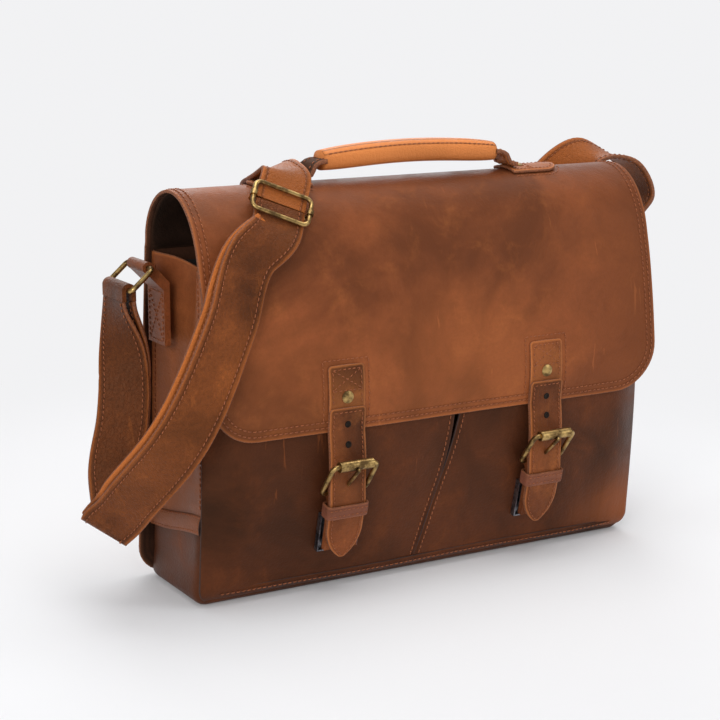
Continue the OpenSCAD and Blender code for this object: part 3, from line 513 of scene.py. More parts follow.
thread = thread_material("thread", rgb(176, 98, 48), rgb(96, 48, 24))
brass = metal("antique_brass", rgb(190, 158, 100), rgb(96, 74, 46), 0.3)
steel = metal("catch_steel", rgb(150, 150, 156), rgb(70, 70, 76), 0.36)
# black for the catch magnets, and painted shade for the tongue's holes
black = leather("magnet_black_and_hole_shade", rgb(22, 21, 21), rgb(12, 12, 12), rgb(60, 58, 56), rough=0.5, scratch=0.2, seed=5.0)
board = leather("board", rgb(52, 45, 40), rgb(30, 26, 24), rgb(80, 70, 60), rough=0.8, scratch=0.0, seed=5.5)
BODY = [hide, edge_hide, flesh]
LOW = [hide_low, edge_hide, flesh]
TRIM = [trim, edge_hide, flesh]
STRAP = [strap_hide, edge_hide, strap_hide]


def sewn(piece, body=None, blend=None, replaces=(), pads=None):
    """Attaches a piece to its body, or with a blend only bakes its place into its mesh, and hides the parts it
    replaces.
    """
    if blend:
        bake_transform(piece)
    else:
        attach(piece, body)
    if replaces:
        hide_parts(*replaces)
    return piece


# ---- Back panel and flap, one bent sheet ----

FLAP_FRONT = [(0, 1), (0.28, 0.978), (0.53, 0.908), (0.69, 0.815), (0.8, 0.68), (0.91, 0.5), (0.99, 0.32),
              (1.03, 0.15), (1, 0)]
flap_places = np.array(
    [(back_y(FOLD_H), FOLD_H), (back_y(FOLD_H), FOLD_H + 2)]
    + [(CREST_Y + CREST_R * math.cos(a), CREST_Z - CREST_R + CREST_R * math.sin(a))
       for a in np.radians(np.arange(0, 76, 15))]
    + [(CREST_Y - a * (HEM_OUT + CREST_Y), HEM_Z + b * (CREST_Z - HEM_Z)) for a, b in FLAP_FRONT]
)
flap_line = smooth(flap_places, lengths(flap_places), 160)
PANEL_FOOT = 3.0
PANEL_LOW_HALF = HALF_W + 8
PANEL_CORNER_R = 22.0
back_line = np.array([(back_y(z), z) for z in np.linspace(PANEL_FOOT, FOLD_H - 1, 60)])
whole_line = np.concatenate([back_line, flap_line])
whole_at = lengths(whole_line)
FOLD_AT = lengths(back_line)[-1] + 1
TOTAL = whole_at[-1]


def flap_y(z):
    front = flap_line[flap_line[:, 0] < CREST_Y][::-1]
    return np.interp(z, front[:, 1], front[:, 0])


def bent(x, at, lift=0.0):
    """Point and outward normal of the back and flap's surface, x across and at along it."""
    x, at = np.broadcast_arrays(np.asarray(x, float), np.asarray(at, float))
    y = np.interp(at, whole_at, whole_line[:, 0])
    z = np.interp(at, whole_at, whole_line[:, 1])
    step = 3.0
    ty = np.interp(at + step, whole_at, whole_line[:, 0]) - np.interp(at - step, whole_at, whole_line[:, 0])
    tz = np.interp(at + step, whole_at, whole_line[:, 1]) - np.interp(at - step, whole_at, whole_line[:, 1])
    size = np.hypot(ty, tz) + 1e-9
    n = np.stack([np.zeros_like(y), tz / size, -ty / size], -1)
    p = np.stack([x, y, z], -1)
    # the front of the flap is a little uneven, held at its closures
    front = np.clip((at - FOLD_AT - 130) / 60, 0, 1)
    loose = front * (0.35 + 0.65 * np.clip(np.abs(np.abs(x) - CLOSURE_X) / 60, 0, 1))
    uneven = 1.1 * wave(p, 47.0, 0.6) * loose - 0.25 * loose
    return p + (lift + uneven)[..., None] * n, n


def half_width(at, low_r, high_r):
    """Half width of the sheet, with a rounded corner at each end."""
    top = FOLD_AT
    straight = np.where(at < top, PANEL_LOW_HALF + (FLAP_HALF - PANEL_LOW_HALF) * at / top, FLAP_HALF)
    low = np.clip(low_r - at, 0, low_r)
    high = np.clip(high_r - (TOTAL - at), 0, high_r)
    return straight - low_r + np.sqrt(low_r**2 - low**2) - high_r + np.sqrt(high_r**2 - high**2)


def corner_rows(r, count):
    """Distances from an end of the sheet, close together where the corner turns fastest."""
    return r * (1 - np.cos(np.linspace(0, math.pi / 2, count)))


rows_at = np.concatenate([
    corner_rows(PANEL_CORNER_R, 9), np.linspace(PANEL_CORNER_R, TOTAL - CORNER_R, 120)[1:-1],
    TOTAL - corner_rows(CORNER_R, 13)[::-1]
])
across = np.sin(np.linspace(-math.pi / 2, math.pi / 2, 75)) * 0.25 + np.linspace(-1, 1, 75) * 0.75
hw = half_width(rows_at, PANEL_CORNER_R, CORNER_R)
X, A = across[:, None] * hw[None, :], np.broadcast_to(rows_at, (75, len(rows_at)))
flap_grid, _ = bent(X, A)


def outline_distance(x, at):
    """Distance from the outline of the back and flap, measured on the flat pattern."""
    straight = np.where(at < FOLD_AT, PANEL_LOW_HALF + (FLAP_HALF - PANEL_LOW_HALF) * at / FOLD_AT, FLAP_HALF)
    side = straight - np.abs(x)
    d = np.minimum(side, np.minimum(at, TOTAL - at))
    for r, end in ((PANEL_CORNER_R, at), (CORNER_R, TOTAL - at)):
        inside = (side < r) & (end < r)
        d = np.where(inside, r - np.hypot(r - side, r - end), d)
    return np.maximum(d, 0)


edge = outline_distance(X, A)
# painted shade in the flap's tone: darker at the crest, where the top faces the overhead light, and much darker towards
# the right of the front, where the light falls off; a little lighter down the front, and the wave adds random tone
front_part = np.clip((A - FOLD_AT - 40) / 90, 0, 1)
crest = np.exp(-((A - FOLD_AT - 88) / 62) ** 2)
right_painted_shade = np.clip((X - 90) / 110, 0, 1) * front_part
tone = 0.06 * front_part - 0.25 * crest - 0.8 * right_painted_shade + 0.12 * wave(flap_grid, 60.0, 2.0)
# the fold's hinge points lean forward; sewn() only bakes the piece's place and does not use them
FOLD_LEAN = math.radians(55)
FOLD_RUN = 20.0
HINGE_LOW = (0, back_y(FOLD_H - 16) * MM, (FOLD_H - 16) * MM)
HINGE_HIGH = (0, HINGE_LOW[1] - FOLD_RUN * math.sin(FOLD_LEAN) * MM, HINGE_LOW[2] + FOLD_RUN * math.cos(FOLD_LEAN) * MM)
flap_piece = sheet("back_and_flap", flap_grid, LEATHER, BODY, edge=edge, tone=tone, rows=2, facing=(0, 1, 0))
sewn(flap_piece, blend=("bag", "flap", HINGE_LOW, HINGE_HIGH), replaces=("back_panel", "flap"))


def outline_path(inset, start, end, count=400):
    """Half width and distance along the sheet of its outline at an inset, from start to end; bent() turns them into
    points and normals.
    """
    at = np.linspace(start, end, count)
    high_r, low_r = CORNER_R - inset, PANEL_CORNER_R - inset
    straight = np.where(at < FOLD_AT, PANEL_LOW_HALF + (FLAP_HALF - PANEL_LOW_HALF) * at / FOLD_AT, FLAP_HALF) - inset
    high = np.clip(high_r - (TOTAL - inset - at), 0, high_r)
    low = np.clip(low_r - (at - inset), 0, low_r)
    x = straight - high_r + np.sqrt(high_r**2 - high**2) - low_r + np.sqrt(low_r**2 - low**2)
    return x, at


thread_lines = []
for inset in (3.6, 8.0):
    x, at = outline_path(inset, inset + 0.01, TOTAL - inset - 0.01, 1500)
    for side in (-1, 1):
        p, n = bent(side * x, at, 0.1)
        keep = np.ones(len(at), bool) if inset < 5 else at > FOLD_AT - 4
        thread_lines.append((p[keep], n[keep]))
    hem = np.linspace(-x[-1], x[-1], 300)
    thread_lines.append(bent(hem, np.full(300, TOTAL - inset), 0.1))
    if inset < 5:
        foot = np.linspace(-x[0], x[0], 300)
        thread_lines.append(bent(foot, np.full(300, inset), 0.1))
flap_sewing = stitches("flap_stitches", thread_lines)
sewn(flap_sewing, blend=("bag", "flap", HINGE_LOW, HINGE_HIGH))

# Lining of the flap
rows_in = np.concatenate([np.linspace(FOLD_AT + 1, TOTAL - CORNER_R, 80)[:-1], TOTAL - 4 - corner_rows(CORNER_R - 4, 9)[::-1]])
high = np.clip(CORNER_R - 4 - (TOTAL - 4 - rows_in), 0, CORNER_R - 4)
hw_in = FLAP_HALF - 4 - (CORNER_R - 4) + np.sqrt((CORNER_R - 4) ** 2 - high**2)
Xi = np.linspace(-1, 1, 41)[:, None] * hw_in[None, :]
lining_grid, _ = bent(Xi, np.broadcast_to(rows_in, Xi.shape), -LEATHER - 0.05)
flap_lining = sheet("flap_lining_sheet", lining_grid, 0.7, [suede, suede, suede], tone=-0.3, facing=(0, -0.5, 1))
sewn(flap_lining, blend=("bag", "flap", HINGE_LOW, HINGE_HIGH), replaces=("flap_lining",))

# ---- Pocket fronts with the slit between them ----

SLIT_LOW = 76.0
SLIT_LEAN = 0.3
FOOT_Z, FOOT_R = 3.5, 13.0


def slit_x(z):
    """Middle line of the slit and of the seam below it."""
    rise = z - SLIT_LOW
    return SLIT_LEAN * rise - 0.0011 * rise * np.abs(rise)


def pocket_front(side):
    nu, nv = 60, 64
    v = np.linspace(0, 1, nv)
    z = FOOT_Z + v**1.2 * (POCKET_H - FOOT_Z)
    centre = slit_x(z)
    open_half = np.where(z < SLIT_LOW, 0.25, 0.25 + 2.6 * np.clip((z - SLIT_LOW) / 50, 0, 1))
    x0 = centre + side * open_half
    u = np.linspace(0, 1, nu)
    u = 0.72 * u + 0.28 * (1 - np.cos(math.pi * u)) / 2
    low = np.clip((FOOT_Z + FOOT_R - z) / FOOT_R, 0, 1)
    x1 = side * (HALF_W - 0.8 * FOOT_R * (1 - np.sqrt(1 - low**2)))
    xx = x0[None, :] + u[:, None] * (x1 - x0)[None, :]
    zz = np.broadcast_to(z, xx.shape)
    edge_run = np.sin(np.radians(90 * np.minimum((HALF_W - np.abs(xx)) / 36, 1)))
    dip = 0.1 * np.exp(-(((xx - centre[None, :]) / 22) ** 2))
    base = wall_y(zz) - GAP - LEATHER
    yy = base + (pocket_y(zz) - base) * (edge_run - dip)
    p = np.stack([xx, yy, zz], -1)
    soft = 1.2 * wave(p, 38.0, 1.1 + side) * np.clip((zz - 9) / 30, 0, 1) * np.clip((150 - zz) / 30, 0, 1)
    soft *= np.clip((HALF_W - np.abs(xx)) / 30, 0, 1)
    p[..., 1] += 0.7 * FOOT_R * (1 - np.sqrt(1 - low**2))
    p[..., 1] += np.clip(soft, -1.2, 1.2)
    if side < 0:
        p = p[::-1]
        u_edge = np.abs(xx - x0[None, :])[::-1]
    else:
        u_edge = np.abs(xx - x0[None, :])
    d = np.minimum(u_edge, np.minimum(zz - 9, POCKET_H - zz) + 6)
    corner = np.exp(-(((HALF_W - np.abs(p[..., 0])) / 45) ** 2) - ((p[..., 2] - 30) / 35) ** 2)
    tone = -0.3 + 0.2 * np.exp(-(((p[..., 2] - 20) / 25) ** 2)) + 0.2 * wave(p, 45.0, 3.0)
    tone = tone + 0.3 * p[..., 0] / HALF_W + 0.4 * corner
    name = "pocket_front_" + ("right" if side > 0 else "left")
    piece = sheet(name, p, LEATHER, [hide_low, dark_edge, flesh], edge=d + 2, tone=tone, rows=1, facing=(0, -1, 0))
    sewn(piece, "bag", replaces=("pocket_" + ("right" if side > 0 else "left"),))
    lines = []
    n = normals_of(p)
    inset = 3.6
    pts, nor = [], []
    for j in range(nv):
        order = np.argsort(u_edge[:, j])
        pts.append([np.interp(inset, u_edge[order, j], p[order, j, k]) for k in range(3)])
        nor.append([np.interp(inset, u_edge[order, j], n[order, j, k]) for k in range(3)])
    lines.append((np.array(pts), np.array(nor)))
    sewn(stitches(name + "_stitches", lines), "bag")


pocket_front(-1)
pocket_front(1)

# ---- Gussets, base and inner walls ----

GUSSET_TOP = FOLD_H - 6


# the gusset's seam falls towards the back by this much
SEAM_FALL = 15.0


def swell(side, z, u):
    """Outward bulge of the right gusset beside its front seam, u from front to back."""
    height = np.clip((z - 72) / 45, 0, 1) * np.clip((215 - z) / 70, 0, 1)
    return (side > 0) * 12 * np.sin(height * math.pi / 2) ** 2 * np.exp(-(((u - 0.2) / 0.17) ** 2)) * np.clip(u / 0.06, 0, 1)


def gusset(side):
    nu, nv = 40, 70
    u = np.linspace(0, 1, nu)[:, None]
    v = np.linspace(0, 1, nv)[None, :]
    z = END_H - SEAM_FALL * u + v * (GUSSET_TOP - END_H + SEAM_FALL * u)
    y0, y1 = wall_y(z) + GAP, back_y(z) - LEATHER - GAP
    y = y0 + u * (y1 - y0)
    rise = np.sin(np.radians(90 * np.minimum(v / 0.5, 1)))
    pinch = np.clip((v - 0.8) / 0.2, 0, 1)
    bow = (9 * rise + 5 * pinch) * np.sin(math.pi * u) ** 2
    bow = bow + 9 * pinch**1.5 * np.exp(-(((u - 0.42) / 0.16) ** 2))
    x = HALF_W - LEATHER - GAP - bow + swell(side, z, u)
    sag = pinch * (5 * u - 9 * np.exp(-(((u - 0.42) / 0.2) ** 2)))
    p = np.stack([x + 0 * y, y, z + sag + 0 * y], -1)
    p[..., 0] += 0.9 * wave(p, 19.0, 7.0) * np.sin(math.pi * u) * np.clip(4 * v, 0, 1)
    if side < 0:
        p[..., 0] *= -1
        p = p[::-1]
    name = "gusset_soft_" + ("right" if side > 0 else "left")
    piece = sheet(name, p, LEATHER, BODY, tone=0.1 + 0.25 * wave(p, 30.0, 4.0), rows=0, facing=(side, 0, 0))
    sewn(piece, "bag", replaces=("gusset_" + ("right" if side > 0 else "left"),))


gusset(-1)
gusset(1)


def paint(names, material):
    for name in names:
        mesh = nodes[name].data
        mesh.materials.clear()
        mesh.materials.append(material)
        for key, value in (("edge_mm", 50.0), ("tone", 0.0), ("rows", 0.0)):
            layer = mesh.attributes.new(key, "FLOAT", "POINT")
            layer.data.foreach_set("value", np.full(len(mesh.vertices), value, np.float32))
        co = np.empty(len(mesh.vertices) * 3, np.float32)
        mesh.vertices.foreach_get("co", co)
        rest = mesh.attributes.new("rest", "FLOAT_VECTOR", "POINT")
        rest.data.foreach_set("vector", co)


paint([f"{n}_{s}" for n in ("buckle", "roller", "prong", "ring", "tongue_rivet") for s in BOTH]
      + ["handle_rivets", "slider_frame", "slider_bar"], brass)
paint([f"{n}_{s}" for n in ("catch_tray", "catch_plate") for s in BOTH], steel)
paint([f"catch_magnet_{s}" for s in BOTH], black)
paint(["base_board"], board)
paint([f"{n}_{s}" for n in ("buckle_holder", "ring_tab") for s in BOTH], trim)
paint([f"strap_loop_{s}" for s in BOTH], strap_hide)

# ---- Base: a soft tray with turned-up ends ----

BASE_R = 9.0


def base_ring(inset, z):
    """Closed outline of the base at a height, from its front right corner round to the left."""
    front, rear = wall_y(z) + GAP + inset, back_y(z) - LEATHER - GAP - inset
    half = HALF_W - inset
    r = max(BASE_R - inset, 1.0)
    line = []
    corners = ((half - r, front + r, -90), (half - r, rear - r, 0), (-half + r, rear - r, 90), (-half + r, front + r, 180))
    for cx, cy, start in corners:
        for a in np.radians(start + np.linspace(0, 90, 7)):
            line.append((cx + r * math.cos(a), cy + r * math.sin(a)))
    line.append(line[0])
    flat = resample(np.array(line), 161)[:-1]
    return np.column_stack([flat, np.full(len(flat), z)])


def closed_skin(name, rings, materials, closed_ends=True, **facts):
    """Skin over closed rings of equally many points."""
    rings = np.asarray(rings)
    m, n = rings.shape[:2]
    faces = []
    for i in range(m - 1):
        for j in range(n):
            k = (j + 1) % n
            faces.append((i * n + j, i * n + k, (i + 1) * n + k, (i + 1) * n + j))
    if closed_ends:
        faces.append(tuple(range(n - 1, -1, -1)))
        faces.append(tuple((m - 1) * n + j for j in range(n)))
    return make_mesh(name, rings.reshape(-1, 3), faces, materials, None, **facts)


def base_shell():
    rings, edge = [], []
    turns = np.radians(np.linspace(0, 90, 7))
    profile = [(70, 0.0), (40, 0.0), (18, 0.0)]
    profile += [(BASE_R * (1 - math.sin(a)), BASE_R * (1 - math.cos(a))) for a in turns]
    profile += [(0.0, z) for z in np.linspace(12, END_H, 16)]
    profile += [(0.9, END_H + 0.9), (LEATHER, END_H)]
    profile += [(LEATHER, z) for z in (50.0, 30.0, 12.0)] + [(30, 2.6)]
    for inset, z in profile:
        depth = min(inset, 40)
        ring = base_ring(depth, z)
        soft = 1.3 * wave(ring, 26.0, 5.0) * np.clip((z - 8) / 20, 0, 1) * np.clip((END_H - z) / 20, 0, 1)
        soft = np.where(np.abs(ring[:, 0]) > HALF_W - 20, soft - 1.2 * np.clip((z - 8) / 20, 0, 1), 0 * soft)
        beside = np.exp(-(((ring[:, 1] + 30) / 20) ** 2)) * np.clip((z - 10) / 15, 0, 1) * np.clip((END_H - z) / 18, 0, 1)
        soft = soft + np.where(ring[:, 0] > HALF_W - 20, 5 * beside, 0)
        ring[:, 0] += np.sign(ring[:, 0]) * soft
        back_share = np.clip((ring[:, 1] - wall_y(z)) / (back_y(z) - wall_y(z)), 0, 1)
        ring[:, 2] -= SEAM_FALL * back_share * max(z - 20, 0) / (END_H - 20)
        rings.append(ring)
        edge.append(np.full(len(ring), abs(END_H - z) + 1))
    tone = -0.15 + 0.2 * wave(np.concatenate(rings), 34.0, 2.2)
    piece = closed_skin("base_shell", rings, LOW, edge_mm=np.concatenate(edge), tone=tone, rows=0.0)
    sewn(piece, "bag", replaces=("base_panel",))


base_shell()


def plain_sheet(name, node, x_half, line, thick, materials, facing, rows=0, tone=0.0, body="bag", soft=0.8):
    """Upright or bent sheet that follows a line of (y, z) points across the bag."""
    line = resample(np.asarray(line, float), 60)
    x = np.linspace(-x_half, x_half, 60)
    grid = np.empty((60, 60, 3))
    grid[..., 0] = x[:, None]
    grid[..., 1] = line[None, :, 0]
    grid[..., 2] = line[None, :, 1]
    grid[..., 1] += soft * wave(grid, 41.0, 2.0)
    piece = sheet(name, grid, thick, materials, tone=tone, rows=rows, facing=facing)
    sewn(piece, body, replaces=(node,))
    return piece


wall_low, wall_high = cad("front_wall")
plain_sheet("inner_front_wall", "front_wall", wall_high[0],
            [(wall_y(z), z) for z in np.linspace(wall_low[2], wall_high[2], 20)], LEATHER, LOW, (0, -1, 0), soft=0.1)
lining_low, lining_high = cad("lining")
lining_path = [(back_y(z) - LEATHER - 1.2, z) for z in np.linspace(lining_high[2], 12, 12)]
lining_path += [(back_y(4) - 8, lining_low[2] + 1.2), (wall_y(4) + 12, lining_low[2] + 1.2)]
lining_path += [(wall_y(z) + LEATHER + 1.2, z) for z in np.linspace(12, lining_high[2] - 4, 12)]
plain_sheet("lining_sheet", "lining", lining_high[0], lining_path, 0.7, [lining] * 3, (0, -1, 0), soft=0.0)


def padded_divider():
    low, high = cad("divider")
    middle, half = (low + high) / 2, (high - low) / 2
    rings = []
    for v in np.linspace(-1, 1, 50):
        ring = []
        lean = (back_y(low[2] + (v + 1) * half[2]) - back_y(low[2])) if True else 0
        for a in np.linspace(0, 2 * math.pi, 80, endpoint=False):
            cx, cy = math.cos(a), math.sin(a)
            x = half[0] * math.copysign(abs(cx) ** 0.12, cx)
            fat = (1 - abs(v) ** 8) * (0.82 + 0.18 * math.cos(x / 16) * math.cos(v * 18))
            y = 3.0 * math.copysign(abs(cy) ** 0.7, cy) * max(fat, 0.15)
            ring.append((middle[0] + x, y + lean + low_y(low, high), middle[2] + v * half[2]))
        rings.append(ring)
    piece = closed_skin("divider_pad", rings, [lining], edge_mm=50.0, tone=0.0, rows=0.0)
    sewn(piece, "bag", replaces=("divider",))


def low_y(low, high):
    """Middle of the divider's thickness at its foot: it leans forward as it rises."""
    return high[1] - 3.4


padded_divider()

# ---- Seams and bands of the body ----


def gusset_point(side, z, u):
    """Point of a gusset's outer face at a height, u from its front seam to its back seam."""
    v = (z - END_H) / (GUSSET_TOP - END_H)
    y0, y1 = wall_y(z) + GAP, back_y(z) - LEATHER - GAP
    rise = math.sin(math.radians(90 * min(max(v, 0) / 0.5, 1)))
    pinch = max(v - 0.8, 0) / 0.2
    bow = (9 * rise + 5 * pinch) * math.sin(math.pi * u) ** 2
    return np.array([side * (HALF_W - LEATHER - GAP - bow + swell(side, z, u)), y0 + u * (y1 - y0), z])


def welt(side):
    """Raised band over the joint of gusset and base, sewn with two rows."""
    u = np.linspace(0.02, 0.98, 40)
    profile = [(-7, 1.1), (-5, 1.5), (-2, 1.6), (1, 1.3), (4, 0.5), (6, -0.4), (7, -1.3)]
    grid = np.array([[gusset_point(side, END_H + 1, a) + (side * (out + 1.6), 0, dz) for dz, out in profile] for a in u])
    grid[..., 2] += (0.7 * np.sin(u * 7) - SEAM_FALL * u)[:, None]
    piece = sheet("welt_" + BOTH[side > 0], grid, 1.4, [hide, dark_edge, flesh], edge=np.full(grid.shape[:2], 9.0),
                  tone=0.1, facing=(side, 0, 0))
    sewn(piece, "bag")
    lines = []
    for k in (1, 5):
        lines.append((grid[:, k], np.broadcast_to((side, 0.0, 0.0), (len(u), 3))))
    for a in (0.06, 0.94):
        heights = np.linspace(END_H + 12, GUSSET_TOP - 4, 90)
        pts = np.array([gusset_point(side, z, a) + (side * 0.2, 0, 0) for z in heights])
        lines.append((pts, np.broadcast_to((side, 0.0, 0.0), (90, 3))))
    sewn(stitches("gusset_stitches_" + BOTH[side > 0], lines), "bag")


for SIDE in (-1, 1):
    welt(SIDE)


def front_band():
    """Turned-up edge of the base along the foot of the pocket fronts."""
    x = np.linspace(-HALF_W + 16, HALF_W - 16, 120)
    z = np.array([2.0, 3.5, 6.5, 10.5, 13.5])
    lift = np.array([-12.0, -7.6, -2.6, 0.5, 0.5])
    grid = np.empty((120, 5, 3))
    grid[..., 0] = x[:, None]
    grid[..., 2] = z[None, :] + 0.5 * np.sin(x / 31)[:, None]
    run = np.sin(np.radians(90 * np.minimum((HALF_W - np.abs(x)) / 36, 1)))
    base = wall_y(z) - GAP - LEATHER
    ends = np.clip((HALF_W - 16 - np.abs(x)) / 40, 0, 1)[:, None]
    lift = np.minimum(lift, 0) + ends * np.maximum(lift, 0) - 1.2 * (1 - ends)
    grid[..., 1] = base[None, :] + (pocket_y(z) - base)[None, :] * run[:, None] - lift
    piece = sheet("front_band", grid, 1.4, [hide_low, dark_edge, flesh], edge=np.full(grid.shape[:2], 9.0),
                  tone=-0.1, facing=(0, -1, 0))
    sewn(piece, "bag")
    line = grid[:, 3] + (0, -0.1, -0.8)
    sewn(stitches("front_band_stitches", [(line, np.broadcast_to((0.0, -1.0, 0.0), line.shape))]), "bag")


front_band()

# ---- Closures ----

TONGUE_T = 3.2
TONGUE_TOP = 182.0
TONGUE_PATCH = 32.0
TIP_L = 19.0
HEEL_Z = 84.0
CATCH_Z = 52.0
TRAY_L = 32.0
HOLDER_T = 2.2
KEEPER_H = 10.0
WRAP_R = 2.06 + HOLDER_T
catch_tilt = math.atan((pocket_y(CATCH_Z - TRAY_L / 2) - pocket_y(CATCH_Z + TRAY_L / 2)) / TRAY_L)
HOLDER_N = 1 + 2 + 2 * GAP + 1.3
TONGUE_N = HOLDER_N + 2 * HOLDER_T + GAP
KEEPER_S = TRAY_L / 2 + GAP + KEEPER_H / 2
HEEL_Y = pocket_y(HEEL_Z) - 2 * GAP - WRAP_R
ROLLER_Z = HEEL_Z + 31 * math.cos(math.radians(38))
TIP_R = TONGUE_W


def catch_point(s, n):
    """Point of the YZ plane s up the slope from the catch and n away from the bag."""
    c, q = math.cos(catch_tilt), math.sin(catch_tilt)
    return (pocket_y(CATCH_Z) - GAP - s * q - n * c, CATCH_Z + s * c - n * q)


tongue_y = HEEL_Y - WRAP_R - GAP
tongue_places = np.array([
    (flap_y(HEM_Z), HEM_Z), ((flap_y(HEM_Z) + tongue_y) / 2 - 0.5, (HEM_Z + ROLLER_Z) / 2 + 4),
    (tongue_y - 1, ROLLER_Z), (tongue_y, HEEL_Z), catch_point(KEEPER_S + KEEPER_H / 2 + 1, TONGUE_N),
    catch_point(KEEPER_S, TONGUE_N), catch_point(0, TONGUE_N), catch_point(-TIP_L, TONGUE_N)])
upper = np.array([(flap_y(z), z) for z in np.arange(TONGUE_TOP, HEM_Z, -3.0)])
tongue_line = resample(np.concatenate([upper, smooth(tongue_places, lengths(tongue_places), 70)]), 130)
tongue_at = lengths(tongue_line)
ahead = unit(np.gradient(tongue_line, axis=0))
tongue_out = np.stack([ahead[:, 1], -ahead[:, 0]], 1)
tip_z = tongue_line[-1, 1]


def tongue_half(z, inset=0.0):
    """Half width of the tongue at a height, pointed like an ogee at its tip."""
    over = np.clip(TIP_R * 0.82 - (z - tip_z), 0, None)
    return np.minimum(TONGUE_W / 2, np.sqrt(np.maximum(TIP_R**2 - over**2, 0)) - (TIP_R - TONGUE_W / 2)) - inset


def tongue_points(x, at, lift):
    y = np.interp(at, tongue_at, tongue_line[:, 0]) + lift * np.interp(at, tongue_at, tongue_out[:, 0])
    z = np.interp(at, tongue_at, tongue_line[:, 1]) + lift * np.interp(at, tongue_at, tongue_out[:, 1])
    n = np.stack([0 * at, np.interp(at, tongue_at, tongue_out[:, 0]), np.interp(at, tongue_at, tongue_out[:, 1])], -1)
    x, y, z = np.broadcast_arrays(x, y, z)
    return np.stack([x, y, z], -1), np.broadcast_to(n, x.shape + (3,))


def tongue(side):
    word = BOTH[side > 0]
    centre = side * CLOSURE_X
    lines = []
    for layer, (start, thick) in enumerate(((0.0, TONGUE_T / 2), (TONGUE_PATCH, TONGUE_T))):
        end_rows = 3 * (1 - np.cos(np.linspace(0, math.pi / 2, 5)))
        at = np.concatenate([start + end_rows, np.linspace(start + 4, tongue_at[-1] - 0.4, 100)])
        z = np.interp(at, tongue_at, tongue_line[:, 1])
        corner = np.clip(3 - (at - start), 0, 3)
        half = tongue_half(z, 0.35) - 3 + np.sqrt(9 - corner**2)
        u = np.linspace(-1, 1, 15)
        crown = 0.5 * (1 - u**4)
        grid, _ = tongue_points(centre + u[:, None] * half[None, :], np.broadcast_to(at, (15, len(at))), thick)
        _, n = tongue_points(0 * at, at, 0)
        grid = grid + (crown - 0.5)[:, None, None] * n[None, :, :]
        edge = np.minimum(half[None, :] * (1 - np.abs(u[:, None])), np.minimum(at - start, tongue_at[-1] - at)[None, :])
        tone = 0.1 * (1 - layer) + 0.15 * wave(grid, 22.0, side + layer)
        piece = sheet(f"tongue_layer_{layer}_{word}", grid, TONGUE_T / 2 - 0.1, TRIM, edge=edge, tone=tone,
                      rows=0, facing=(0, -1, 0))
        sewn(piece, "flap", replaces=(f"tongue_{word}",))
        last = np.argmax(tongue_half(z, 3.4) < 0.6) or len(at)
        run = at[:last]
        run = run[run > start + 3]
        for s in (-1, 1):
            x = centre + s * tongue_half(np.interp(run, tongue_at, tongue_line[:, 1]), 3.4)
            if layer == 0:
                keep = run < TONGUE_PATCH - 2
                lines.append(tongue_points(x[keep], run[keep], thick))
            else:
                lines.append(tongue_points(x, run, thick))
        across = np.linspace(-TONGUE_W / 2 + 3.4, TONGUE_W / 2 - 3.4, 30)
        lines.append(tongue_points(centre + across, np.full(30, start + 3.2), thick))
    box = np.linspace(0, 1, 30)
    for s in (-1, 1):
        x = centre + s * (TONGUE_W / 2 - 3.4) * (2 * box - 1)
        lines.append(tongue_points(x, 3.2 + box * (TONGUE_PATCH / 2 - 1), TONGUE_T / 2))
    lines.append(tongue_points(centre + across, np.full(30, TONGUE_PATCH / 2 + 3), TONGUE_T / 2))
    sewn(stitches("tongue_stitches_" + word, lines, pitch=3.7, length=2.7, width=0.8), "flap")
    # shadow row of the patch's own outline on the flap
    outline = []
    for s in (-1, 1):
        z = np.linspace(HEM_Z + 8, TONGUE_TOP + 4, 40)
        pts = np.stack([np.full(40, centre + s * (TONGUE_W / 2 + 4)), flap_y(z) - 0.2, z], 1)
        outline.append((pts, np.broadcast_to((0.0, -1.0, 0.15), pts.shape)))
    x = np.linspace(-TONGUE_W / 2 - 4, TONGUE_W / 2 + 4, 30) + centre
    pts = np.stack([x, np.full(30, flap_y(TONGUE_TOP + 4) - 0.2), np.full(30, TONGUE_TOP + 4)], 1)
    outline.append((pts, np.broadcast_to((0.0, -1.0, 0.15), pts.shape)))
    sewn(stitches("tongue_outline_" + word, outline, pitch=3.9, length=2.9, width=0.8), "flap")
    # buckle holes above the roller, made as black dished discs on the tongue: painted shade in place of the holes
    for k in (1, 2):
        at = np.interp(-(ROLLER_Z - 3 + k * 16), -tongue_line[:, 1], tongue_at)
        rings = []
        for r, drop in ((2.7, 0.1), (2.5, 0.5), (2.1, 0.62), (1.8, 0.5), (1.6, 0.3), (0.1, 0.28)):
            a = np.linspace(0, 2 * math.pi, 20, endpoint=False)
            p, n = tongue_points(centre + r * np.cos(a), at + r * np.sin(a), TONGUE_T + drop - 0.2)
            rings.append(p)
        piece = closed_skin(f"tongue_hole_shade_{k}_{word}", rings, [black], edge_mm=50.0, tone=-0.2, rows=0.0)
        sewn(piece, "flap")


